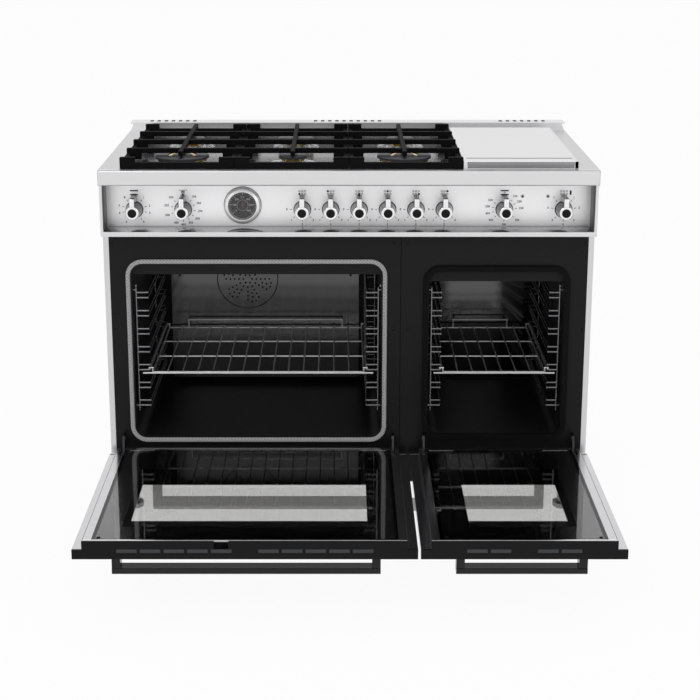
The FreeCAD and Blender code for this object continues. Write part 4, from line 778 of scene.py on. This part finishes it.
# %% Marks round the knobs
TICK_NEAR, TICK_FAR, TICK_WIDE = 26.0, 31.0, 1.3
NUMBER_REACH, NUMBER_SIZE = 38.5, 7.6
LONG_NUMBER_SHIFT = 3.5
BESIDE = math.sin(math.radians(30))
TURNS = {
    "oven_mode_knob": [(38, "1"), (76, "2"), (104, "3"), (146, "4"), (-146, "5"), (-104, "6"),
                       (-76, "7"), (-38, "8")],
    "oven_temperature_knob": [(40, "150"), (68, "200"), (96, "250"), (124, "300"), (152, "350"),
                              (180, "400"), (-152, "450"), (-110, "500"), (-76, "525"), (-44, "550")],
    "small_oven_knob": [(38, "150"), (62, "200"), (86, "250"), (130, "300"), (180, "350"),
                        (-130, "400"), (-104, "450"), (-80, "500"), (-56, "550")],
    "griddle_knob": [(40, "1"), (84, "2"), (136, "3"), (180, "4"), (-136, "5"), (-84, "6"), (-40, "7")],
}
BURNER_TURNS = [(-90, "0"), (-135, "1"), (180, "2"), (135, "3")]


def print_turns(ink, name, x, z):
    """The ticks and numbers round a knob."""
    for turn, text in TURNS.get(name, BURNER_TURNS):
        middle = around(x, z, turn, (TICK_NEAR + TICK_FAR) / 2)
        bar(ink, *middle, TICK_WIDE, TICK_FAR - TICK_NEAR, about("Y", turn))
        beside = abs(math.sin(math.radians(turn))) > BESIDE
        reach = NUMBER_REACH + (LONG_NUMBER_SHIFT if beside and len(text) > 1 else 0)
        number(ink, text, *around(x, z, turn, reach), NUMBER_SIZE)


print(sum(len(turns) for turns in TURNS.values()), "marks for ovens and griddle")

# %% [markdown]
# A symbol over each knob says what it feeds: two bars for an oven, three bars for its heat, and
# for a burner six spots in the layout of the cooktop with one filled in. Spots are given by
# radius and hole, bars by width and height, and the three bars by their lift first.

# %% Symbols over the knobs
ICON_HEIGHT = 843.0
SPOT_PITCH = 7.0
CHOSEN_SPOT, OTHER_SPOT, OVEN_SPOT = (2.8, 0.0), (2.6, 1.5), (2.2, 1.2)
OVEN_BAR, OVEN_BAR_LIFT = (20.0, 3.2), 5.0
HEAT_BARS = ((6.0, 20.0, 1.2), (2.0, 9.0, 4.6), (-4.0, 6.0, 4.6))
GRIDDLE_BAR, GRIDDLE_BAR_PITCHES = (4.6, 11.0), 2.3
BURNER_COLUMN = {"left": -1, "middle": 0, "right": 1}


def print_oven(dark, grey, name, x):
    """The symbol over an oven's knob."""
    for lift in (OVEN_BAR_LIFT, -OVEN_BAR_LIFT):
        bar(dark, x, ICON_HEIGHT + lift, *OVEN_BAR)
    if name == "small_oven_knob":
        spot(grey, x, ICON_HEIGHT, *OVEN_SPOT)


def print_heat(dark, grey, x):
    """The symbol over the oven's temperature knob."""
    for ink, (lift, wide, tall) in zip((dark, grey, grey), HEAT_BARS):
        bar(ink, x, ICON_HEIGHT + lift, wide, tall)


def print_burners(dark, grey, name, x):
    """The cooktop's six burners, with the knob's own filled in, or a bar beside them for the griddle."""
    kind, row = name.split("_")[:2]
    for column in (-1, 0, 1):
        for level, side in (("rear", 1), ("front", -1)):
            chosen = BURNER_COLUMN.get(kind) == column and row == level
            place = (x + column * SPOT_PITCH, ICON_HEIGHT + side * SPOT_PITCH / 2)
            spot(dark if chosen else grey, *place, *(CHOSEN_SPOT if chosen else OTHER_SPOT))
    if name == "griddle_knob":
        bar(dark, x + GRIDDLE_BAR_PITCHES * SPOT_PITCH, ICON_HEIGHT, *GRIDDLE_BAR)


dark_print, grey_print = bmesh.new(), bmesh.new()
for name in KNOBS:
    x, z = knob_middle(name)
    print_turns(dark_print, name, x, z)
    if name in ("oven_mode_knob", "small_oven_knob"):
        print_oven(dark_print, grey_print, name, x)
    elif name == "oven_temperature_knob":
        print_heat(dark_print, grey_print, x)
    else:
        print_burners(dark_print, grey_print, name, x)
finish_piece(dark_print, "panel_print_dark", "black_panel_ink", "casing")
finish_piece(grey_print, "panel_print_grey", "grey_panel_ink", "casing")
print("printed round", len(KNOBS), "knobs")

# %% [markdown]
# The gauge is an oven thermometer. Its scale is printed in white on a dark card: long ticks and
# a number for each hundred degrees, short ticks between. Two thin circles frame it. A black
# ring of rubber seats the chromed bezel on the panel. The panel's two lamps have polished rims.

# %% The gauge's scale, its seat and the lamps' rims
GAUGE_X, GAUGE_HEIGHT = -263.0, 811.5
CARD_PLANE = 26.5
CIRCLES = ((33.0, 34.0), (13.4, 14.2))
SCALE_START, SCALE_SWEEP = -130, 260
SCALE_STEPS, STEPS_PER_NUMBER = 24, 4
MARK_END = 32.0
LONG_MARK, SHORT_MARK = (6.0, 1.3), (3.2, 0.8)
FIGURE_REACH, FIGURE_SIZE = 20.6, 6.4
SEAT_RING = [(45.0, 0), (46.9, 0), (46.9, 1.0), (46.3, 1.6), (45.6, 1.6)]
LENS_PLACES, LENS_HEIGHT = (430.6, 493.4), 833.8
LENS_RIM = [(3.1, 0), (3.1, 1.2), (4.0, 1.2), (4.8, 0)]

scale_print, figures = bmesh.new(), bmesh.new()
on_card = at(GAUGE_X, CARD_PLANE, GAUGE_HEIGHT)
for near, far in CIRCLES:
    turned(scale_print, printed_ring(far, near), on_card @ FRONT, steps=48)
for step in range(SCALE_STEPS + 1):
    turn = SCALE_START + SCALE_SWEEP * step / SCALE_STEPS
    numbered = step % STEPS_PER_NUMBER == 0
    long, wide = LONG_MARK if numbered else SHORT_MARK
    low, high = (-wide / 2, -INK, MARK_END - long), (wide / 2, 0, MARK_END)
    block(scale_print, low, high, 0, on_card @ about("Y", turn))
    if numbered:
        x, z = around(GAUGE_X, GAUGE_HEIGHT, turn, FIGURE_REACH)
        number(figures, str(100 * step // STEPS_PER_NUMBER), x, z, FIGURE_SIZE)
bmesh.ops.translate(figures, vec=(0, (CARD_PLANE - PANEL_PLANE) * MM, 0), verts=figures.verts)
finish_piece(figures, "gauge_figures", "white_dial_ink", "casing")
finish_piece(scale_print, "gauge_scale", "white_dial_ink", "casing")
seat = bmesh.new()
turned(seat, SEAT_RING, on_panel(GAUGE_X, GAUGE_HEIGHT) @ FRONT, steps=56)
finish_piece(seat, "gauge_seat_ring", "black_silicone_rubber", "casing")
lamp_rims = bmesh.new()
for x in LENS_PLACES:
    turned(lamp_rims, LENS_RIM, on_panel(x, LENS_HEIGHT) @ FRONT, steps=20)
finish_piece(lamp_rims, "lamp_rims", "polished_steel", "casing")
print(SCALE_STEPS + 1, "ticks on the gauge")

# %% [markdown]
# The recess round the panel is darker than the panel, by painted shade. The ledge under it has a
# finish of its own, painted darker towards the panel, and the inner walls of the two cheeks are
# lined with dark strips, painted shade where the cheeks face into the recess. The rail above is
# folded sheet. A thin dark line runs along its upper front edge and down its ends, where the fold
# meets the cooktop, and plates close the fold's open ends.

# %% Linings of the panel's recess and trim of the rail
CHEEK_SHADE_STRIP = {"reach": (599.3, 599.9), "deep": (-36.0, 26.0), "tall": (758.6, 875.6), "edge": 0.15}
LEDGE = {"wide": (-598.8, 598.8), "deep": (-36.5, 29.0), "tall": (758.2, 758.7), "edge": 0.15}
LINE_DEPTH = (-52.1, -51.6)
EDGE_LINE = {"wide": (-607.0, 607.0), "deep": LINE_DEPTH, "tall": (913.1, 913.9), "edge": 0.1}
EDGE_LINE_END = {"reach": (606.4, 607.0), "deep": LINE_DEPTH, "tall": (876.6, 913.4), "edge": 0.1}
END_CAP = {"reach": (605.4, 606.8), "deep": (-51.0, 44.5), "tall": (876.2, 912.6), "edge": 0.3}

edge_line, caps, recess, ledge = bmesh.new(), bmesh.new(), bmesh.new(), bmesh.new()
slab(edge_line, **EDGE_LINE)
both_sides(edge_line, **EDGE_LINE_END)
both_sides(caps, **END_CAP)
# The strips on the cheeks' inner walls are painted shade.
both_sides(recess, **CHEEK_SHADE_STRIP)
slab(ledge, **LEDGE)
finish_piece(edge_line, "rail_edge_line", "recess_shade_and_seam_grey", "casing")
finish_piece(caps, "rail_end_caps", "brushed_stainless_rail", "casing")
finish_piece(recess, "recess_painted_shade_strips", "recess_shade_and_seam_grey", "casing")
finish_piece(ledge, "recess_ledge", "stainless_ledge_painted_shade", "casing")
print("recess lined")

# %% [markdown]
# Under each cap a spark electrode stands in a white ceramic sleeve, and beside it a thin steel
# rod feels the flame. Both come up through the spill bowl. Two screws hold each bowl to the top.
# Each has a turn about the burner's axis, counted from the range's right.

# %% Igniters and screws of the burners
BURNER_PLACES = [(x, y) for x in (-417.0, -139.0, 139.0) for y in (101.0, 356.0)]
WIDE_BURNERS = ((-417.0, 101.0), (139.0, 101.0))
PAN_FLOOR, BOWL_FLOOR = 898.0, 900.0
IGNITER_REACH, WIDE_IGNITER_REACH = 43.0, 52.0
SPARK = {"turn": -35, "height": 16.0}
FLAME_ROD = {"turn": 215, "height": 11.0}
SLEEVE_FOOT, SLEEVE_NECK, ROD = 3.4, 2.4, 0.9
PAN_SCREW_REACH, PAN_SCREW_TURNS = 72, (100, 280)
SCREW = [(0, 2.2), (1.6, 2.1), (2.9, 1.5), (3.5, 0.4), (3.5, 0)]
SCREW_STEPS = 14


def sleeve(height):
    """The profile of a sleeve: a wide foot, a shoulder and a narrow neck under the rod's tip."""
    foot = [(0, 0), (SLEEVE_FOOT, 0), (SLEEVE_FOOT, height - 6)]
    return foot + [(SLEEVE_NECK, height - 4), (SLEEVE_NECK, height - 2), (0, height - 2)]


def rod_tip(height):
    """The profile of the steel rod where it leaves its sleeve."""
    return [(0, height - 3), (ROD, height - 3), (ROD, height + 0.5), (0, height + 1)]


def by_burner(x, y, turn, reach, height):
    """A place that far from a burner's axis."""
    angle = math.radians(turn)
    return at(x + reach * math.cos(angle), y + reach * math.sin(angle), height)


sleeves, tips, pan_screws = bmesh.new(), bmesh.new(), bmesh.new()
for x, y in BURNER_PLACES:
    reach = WIDE_IGNITER_REACH if (x, y) in WIDE_BURNERS else IGNITER_REACH
    for rod in (SPARK, FLAME_ROD):
        foot = by_burner(x, y, rod["turn"], reach, BOWL_FLOOR)
        turned(sleeves, sleeve(rod["height"]), foot, steps=14)
        turned(tips, rod_tip(rod["height"]), foot, steps=10)
    for turn in PAN_SCREW_TURNS:
        turned(pan_screws, SCREW, by_burner(x, y, turn, PAN_SCREW_REACH, PAN_FLOOR), SCREW_STEPS)
finish_piece(sleeves, "igniter_sleeves", "ceramic_insulator", "casing")
finish_piece(tips, "igniter_tips", "polished_steel", "casing")
finish_piece(pan_screws, "pan_screws", "zinc_plated_steel", "casing")
print(len(BURNER_PLACES), "burners fitted")

# %% [markdown]
# A bright wire bead rolled into the rim of each bowl catches the light all the way round, and
# the wide burners show brass in the gap between their two caps. The bead is a thin torus, spun
# from a small circle. The brass is a ring with sloping shoulders that fills the gap.

# %% Beads on the bowls and brass between the caps
BEAD_RADIUS, BEAD_WIRE, BEAD_HEIGHT = 61.0, 1.1, 902.2
WIRE_SIDES = 8
GAP_RING = [(27.0, 0), (27.0, 5.2), (29.5, 6.4), (32.5, 6.4), (35.0, 5.2), (35.0, 0)]
GAP_RING_FOOT = 918.8


def wire_ring(radius, wire):
    """The profile of a ring of round wire."""
    turns = [math.radians(360 / WIRE_SIDES * step) for step in range(WIRE_SIDES + 1)]
    return [(radius + wire * math.cos(turn), wire * math.sin(turn)) for turn in turns]


bowl_beads, gap_rings = bmesh.new(), bmesh.new()
for x, y in BURNER_PLACES:
    turned(bowl_beads, wire_ring(BEAD_RADIUS, BEAD_WIRE), at(x, y, BEAD_HEIGHT), steps=48)
for x, y in WIDE_BURNERS:
    turned(gap_rings, GAP_RING, at(x, y, GAP_RING_FOOT), steps=48)
finish_piece(bowl_beads, "bowl_beads", "polished_steel", "casing")
finish_piece(gap_rings, "burner_gap_rings", "turned_brass", "casing")
print(len(BURNER_PLACES), "beads and", len(WIDE_BURNERS), "gap rings")

# %% [markdown]
# The lid's groove is a line of painted shadow, and its front is a plate set in lines of painted
# shadow; the plate's middle grey is painted shade too. Its right end is closed by a black cheek
# with a short return round the front corner. Thin dark strips keep the groove and the lines round
# the plate dark however bright the room is.

# %% The lid's painted shadow lines, front plate and cheek
GROOVE = {"wide": (287.6, 546.4), "deep": (6.6, 12.4), "tall": (933.0, 933.12)}
PLATE_SHADOW_DEPTH = (-31.8, -31.4)
PLATE_SHADOW_SIDES = (
    ((288.0, 546.0), (916.1, 917.6)),
    ((288.0, 546.0), (929.4, 930.9)),
    ((288.0, 289.6), (916.1, 930.9)),
    ((544.4, 546.0), (916.1, 930.9)),
)
FRONT_PLATE = {"wide": (290.2, 543.8), "deep": (-31.7, -31.2), "tall": (918.2, 928.8), "edge": 0.1}
CHEEK = {"wide": (555.5, 556.3), "deep": (-32.0, 480.0), "tall": (914.6, 931.6), "edge": 0.2}
CHEEK_RETURN = {"wide": (548.0, 556.3), "deep": (-33.0, -31.6), "tall": (914.8, 932.2), "edge": 0.3}

lid_lines, lid_plate, cheeks = bmesh.new(), bmesh.new(), bmesh.new()
slab(lid_lines, **GROOVE, edge=0.05)
for wide, tall in PLATE_SHADOW_SIDES:
    slab(lid_lines, wide, PLATE_SHADOW_DEPTH, tall, edge=0.05)
slab(lid_plate, **FRONT_PLATE)
slab(cheeks, **CHEEK)
slab(cheeks, **CHEEK_RETURN)
finish_piece(lid_lines, "lid_shadow_lines", "shadowed_black", "lid")
finish_piece(lid_plate, "lid_front_plate", "brushed_stainless_shade", "lid")
finish_piece(cheeks, "lid_end_cheeks", "black_moulded_plastic", "lid")
print("lid finished")

# %% [markdown]
# The vents at the back open on a black duct. A dark block lies under each group of slots, and a
# dark insert in each slot is painted shade: it brings the slot's dark up close to the surface, as it
# looks from the front.

# %% The duct under the vents, and painted shade in the slots
DUCTS = ((-555.0, -425.0), (-95.0, 95.0), (425.0, 555.0))
DUCT = {"deep": (561.0, 589.0), "tall": (915.0, 932.4), "edge": 0.5}
VENT_PITCH = 20
OUTER_VENTS = 490
VENT_PLACES = [(step - 4.5) * VENT_PITCH for step in range(10)]
VENT_PLACES += [side * (OUTER_VENTS + step * VENT_PITCH) for side in (-1, 1) for step in range(-3, 4)]
SLOT_SHADE_HALF = 4.7
SLOT_SHADE = {"deep": (566.6, 587.4), "tall": (932.0, 936.15), "edge": 0.1}

duct = bmesh.new()
for wide in DUCTS:
    slab(duct, wide, **DUCT)
for x in VENT_PLACES:
    slab(duct, (x - SLOT_SHADE_HALF, x + SLOT_SHADE_HALF), **SLOT_SHADE)
finish_piece(duct, "vent_duct_and_slot_shade", "shadowed_black", "casing")
print(len(VENT_PLACES), "vents lined")

# %% [markdown]
# The oven's fan cover is pressed with a round line about the fan and pierced with small holes.
# The line is a groove, and behind the holes it is dark. Both are painted shade: a black ring in
# the groove and a dark disc close behind the cover. Four screws hold the cover at its corners.

# %% Painted shade in the fan cover's groove and holes, and its screws
FAN_X, FAN_HEIGHT = -278.0, 518.0
COVER_PLANE = 418.0
COVER_GROOVE_SHADE = [(82.5, 0.1), (82.5, 0.5), (85.0, 0.5), (85.0, 0.1)]
LINE_SUNK = 0.7
HOLE_SHADE = [(0, 0), (78.0, 0), (78.0, 0.6), (0, 0.6)]
HOLE_SHADE_SUNK = 4.0

line, hole_shade, cover_screws = bmesh.new(), bmesh.new(), bmesh.new()
turned(line, COVER_GROOVE_SHADE, at(FAN_X, COVER_PLANE + LINE_SUNK, FAN_HEIGHT) @ FRONT, steps=72)
turned(hole_shade, HOLE_SHADE, at(FAN_X, COVER_PLANE + HOLE_SHADE_SUNK, FAN_HEIGHT) @ FRONT, steps=40)
for x in (-466.0, 8.0):
    for z in (257.0, 529.0):
        turned(cover_screws, SCREW, at(x, COVER_PLANE, z) @ FRONT, SCREW_STEPS)
finish_piece(line, "fan_cover_groove_shade", "shadowed_black", "casing")
finish_piece(hole_shade, "fan_cover_hole_shade", "shadowed_black", "casing")
finish_piece(cover_screws, "fan_cover_screws", "satin_enamel_cap", "casing")
print("fan cover finished")

# %% [markdown]
# Round the ovens, screws hold the enamelled face plates to the frame, and the two plates meet in
# a thin dark joint. Studs hang the wire side racks on the walls. The small oven has no fan, so
# its back is one smooth plate under the same glossy enamel as the fan's cover.

# %% Fasteners and plates of the ovens
FACE_PLANE = -4.5
OVENS = {
    "main": {"walls": (-540.0, 82.0), "plate": (-605.5, 130.0)},
    "small": {"walls": (201.0, 537.0), "plate": (130.0, 605.5)},
}
FACE_SCREW_INSET, FACE_SCREW_HEIGHTS = 18, (300.0, 500.0, 722.0)
STUD = [(0, 0), (5.5, 0), (5.5, 1.2), (4.0, 3.0), (0, 3.6)]
STUD_DEPTHS, STUD_HEIGHT = (60.0, 370.0), 596.0
JOINT_DEPTH = (FACE_PLANE - 0.2, FACE_PLANE + 0.4)
JOINT = {"wide": (129.4, 130.6), "deep": JOINT_DEPTH, "tall": (112.0, 745.0), "edge": 0.05}
BACK_PLATE = {"wide": (206.0, 532.0), "deep": (424.9, 425.8), "tall": (229.0, 645.0), "edge": 0.2}

face_screws, joint, back_plate, studs = bmesh.new(), bmesh.new(), bmesh.new(), bmesh.new()
for oven in OVENS.values():
    plate_left, plate_right = oven["plate"]
    for x in (plate_left + FACE_SCREW_INSET, plate_right - FACE_SCREW_INSET):
        for z in FACE_SCREW_HEIGHTS:
            turned(face_screws, SCREW, at(x, FACE_PLANE, z) @ FRONT, SCREW_STEPS)
    for x, inward in zip(oven["walls"], (1, -1)):
        for y in STUD_DEPTHS:
            turned(studs, STUD, at(x, y, STUD_HEIGHT) @ about("Y", 90 * inward), steps=16)
slab(joint, **JOINT)
slab(back_plate, **BACK_PLATE)
finish_piece(face_screws, "oven_face_screws", "oven_enamel", "casing")
finish_piece(joint, "oven_front_joint", "shadowed_black", "casing")
finish_piece(back_plate, "small_oven_back_plate", "fan_cover_enamel", "casing")
finish_piece(studs, "side_rack_studs", "nickel_plated_wire", "casing")
print(len(OVENS), "ovens fitted")

# %% [markdown]
# The inner pane of a door is printed black from behind with a ceramic frit that is fired in, and
# only a wide middle is left clear. Under it lies a heat shield of aluminised steel with the
# window cut out. Each is a flat sheet with a hole: a grid cut along four lines, its middle face
# taken out, and then given a thickness. The frit's clear middle is larger than the window.

# %% Frit and heat shields of the doors
DOORS = {
    "main": {"sheet": (-564.0, 106.0), "window": (-502.0, 41.0), "clips": (-550.0, 32.0),
             "baffles": (-229.0, 5), "hinges": (-571.0, 113.0)},
    "small": {"sheet": (198.0, 564.0), "window": (272.5, 502.0), "clips": (202.0, 489.0),
              "baffles": (381.0, 2), "hinges": (191.0, 571.0)},
}
LININGS = {
    "frit": {"finish": "ceramic_frit_print", "height": 194.3, "thick": 0.2,
             "depth": (-587.0, -62.5), "hole": (-516.0, -178.0), "spare": 5.0},
    "shield": {"finish": "aluminised_shield", "height": 163.2, "thick": 0.6,
               "depth": (-588.0, -66.0), "hole": (-417.0, -204.0), "spare": 0.0},
}


def holed_sheet(outer, inner, height, thick):
    """A flat sheet with a hole. Outer and inner each give left, right, front and back."""
    left, right, front, back = outer
    shape = bmesh.new()
    bmesh.ops.create_grid(shape, x_segments=1, y_segments=1, size=0.5)
    bmesh.ops.scale(shape, vec=((right - left) * MM, (back - front) * MM, 1), verts=shape.verts)
    middle = at((left + right) / 2, (front + back) / 2, height)
    bmesh.ops.transform(shape, matrix=middle, verts=shape.verts)
    for value, axis in zip(inner, ((1, 0, 0), (1, 0, 0), (0, 1, 0), (0, 1, 0))):
        bmesh.ops.bisect_plane(shape, geom=shape.verts[:] + shape.edges[:] + shape.faces[:], dist=0,
                               plane_co=[value * MM * way for way in axis], plane_no=axis)
    hole = []
    for face in shape.faces:
        x, y, _ = face.calc_center_median() / MM
        if inner[0] < x < inner[1] and inner[2] < y < inner[3]:
            hole.append(face)
    bmesh.ops.delete(shape, geom=hole, context="FACES")
    bmesh.ops.solidify(shape, geom=shape.faces, thickness=thick * MM)
    return shape


for door, parts in DOORS.items():
    for kind, lining in LININGS.items():
        window_left, window_right = parts["window"]
        outer = (*parts["sheet"], *lining["depth"])
        inner = (window_left - lining["spare"], window_right + lining["spare"], *lining["hole"])
        sheet = holed_sheet(outer, inner, lining["height"], lining["thick"])
        finish_piece(sheet, f"{door}_door_{kind}", lining["finish"], f"{door}_door")
print(len(DOORS), "doors lined")

# %% [markdown]
# Spring clips of bent steel press the pane down near the hinges, each with a screw, and rubber
# pads cushion its far corners. A bright channel covers its top edge. Along both sides of the
# frame runs a thin dark seam, the gap between the skin and the inner frame.

# %% Clips, pads, channels and seams of the doors
PANE_TOP = 198.5
CLIP_LONG = 62.0
CLIP_FOOT = {"deep": (-53.0, -46.0), "tall": (PANE_TOP - 0.3, PANE_TOP + 0.5), "edge": 0.3}
CLIP_LEAF = {"deep": (-64.0, -52.0), "tall": (PANE_TOP + 0.1, PANE_TOP + 0.7), "edge": 0.25}
CLIP_SCREW_DEPTH, CLIP_SCREW_SUNK = -50.0, 1.6
PAD = [(0, 1.0), (3.4, 0.9), (4.6, 0.2), (4.6, 0)]
PAD_INSET, PAD_DEPTH = 14, -577.0
CHANNEL = {"deep": (-593.6, -588.6), "tall": (PANE_TOP - 0.6, PANE_TOP + 0.6), "edge": 0.25}
CHANNEL_SPARE = 19.0
SEAM = {"deep": (-590.0, -48.0), "tall": (PANE_TOP - 1.2, PANE_TOP + 0.05), "edge": 0.2}
SEAM_WIDE = 1.2
SEAM_LEFT, SEAM_RIGHT = 20.4, 19.2

for door, parts in DOORS.items():
    left, right = parts["sheet"]
    clips, pads, channel, seams = bmesh.new(), bmesh.new(), bmesh.new(), bmesh.new()
    for x in parts["clips"]:
        slab(clips, (x, x + CLIP_LONG), **CLIP_FOOT)
        slab(clips, (x, x + CLIP_LONG), **CLIP_LEAF)
        screw_place = at(x + CLIP_LONG / 2, CLIP_SCREW_DEPTH, PANE_TOP - CLIP_SCREW_SUNK)
        turned(clips, SCREW, screw_place, SCREW_STEPS)
    for x in (left + PAD_INSET, right - PAD_INSET):
        turned(pads, PAD, at(x, PAD_DEPTH, PANE_TOP), steps=18)
    slab(channel, (left - CHANNEL_SPARE, right + CHANNEL_SPARE), **CHANNEL)
    for x in (left - SEAM_LEFT, right + SEAM_RIGHT):
        slab(seams, (x, x + SEAM_WIDE), **SEAM)
    finish_piece(clips, f"{door}_door_clips", "satin_stainless_door", f"{door}_door")
    finish_piece(pads, f"{door}_door_pads", "black_silicone_rubber", f"{door}_door")
    # The channel takes the knobs' face chrome, painted near white as a highlight.
    finish_piece(channel, f"{door}_door_channel", "chromed_zinc_painted_highlight", f"{door}_door")
    finish_piece(seams, f"{door}_door_seams", "satin_enamel_cap", f"{door}_door")
print(len(DOORS), "doors fitted")

# %% [markdown]
# The top trim of a door has slots that let cooling air in. A plate stands behind each slot and
# shows as a paler bar. As many lie on either side of the notch for the latch in the middle.
# Rivets hold each hinge arm from both sides.

# %% Plates behind the slots and rivets of the hinges
BAFFLE_PITCH, BAFFLE_HALF = 51.6, 22.7
BAFFLE = {"deep": (-597.0, -596.4), "tall": (170.5, 179.5), "edge": 0.2}
RIVET = [(0, 1.6), (1.8, 1.4), (3.2, 0.4), (3.2, 0)]
RIVET_DEPTH, RIVET_HEIGHT = -11.0, 212.0
ARM_HALF = 2.5

for door, parts in DOORS.items():
    middle, count = parts["baffles"]
    baffles = bmesh.new()
    for step in [*range(-count, 0), *range(1, count + 1)]:
        x = middle + step * BAFFLE_PITCH
        slab(baffles, (x - BAFFLE_HALF, x + BAFFLE_HALF), **BAFFLE)
    finish_piece(baffles, f"{door}_door_baffles", "satin_enamel_cap", f"{door}_door")
rivets = bmesh.new()
for parts in DOORS.values():
    for x in parts["hinges"]:
        for side in (-1, 1):
            head = at(x + side * ARM_HALF, RIVET_DEPTH, RIVET_HEIGHT) @ about("Y", 90 * side)
            turned(rivets, RIVET, head, SCREW_STEPS)
finish_piece(rivets, "hinge_rivets", "polished_steel", "casing")
print("doors finished")

# %% [markdown]
# Nobody sees the back of a range in a kitchen, but a part can be seen from anywhere. Self-tapping
# screws with a washer under the head hold the rear panel along all four edges.

# %% Screws of the back
BACK = about("X", -90)
BACK_PLANE = 596.2
HEAD = [(0, 1.8), (2.2, 1.8), (3.4, 1.4), (3.8, 0.7), (5.4, 0.6), (5.6, 0)]
BACK_SCREWS = [(x, z) for x in (-590.0, -390.0, -195.0, 0.0, 195.0, 390.0, 590.0) for z in (104.0, 900.0)]
BACK_SCREWS += [(x, z) for z in (300.0, 500.0, 700.0) for x in (-590.0, 590.0)]

back_screws = bmesh.new()
for x, z in BACK_SCREWS:
    turned(back_screws, HEAD, at(x, BACK_PLANE, z) @ BACK, SCREW_STEPS)
finish_piece(back_screws, "rear_panel_screws", "zinc_plated_steel", "casing")
print(len(BACK_SCREWS), "screws in the back")
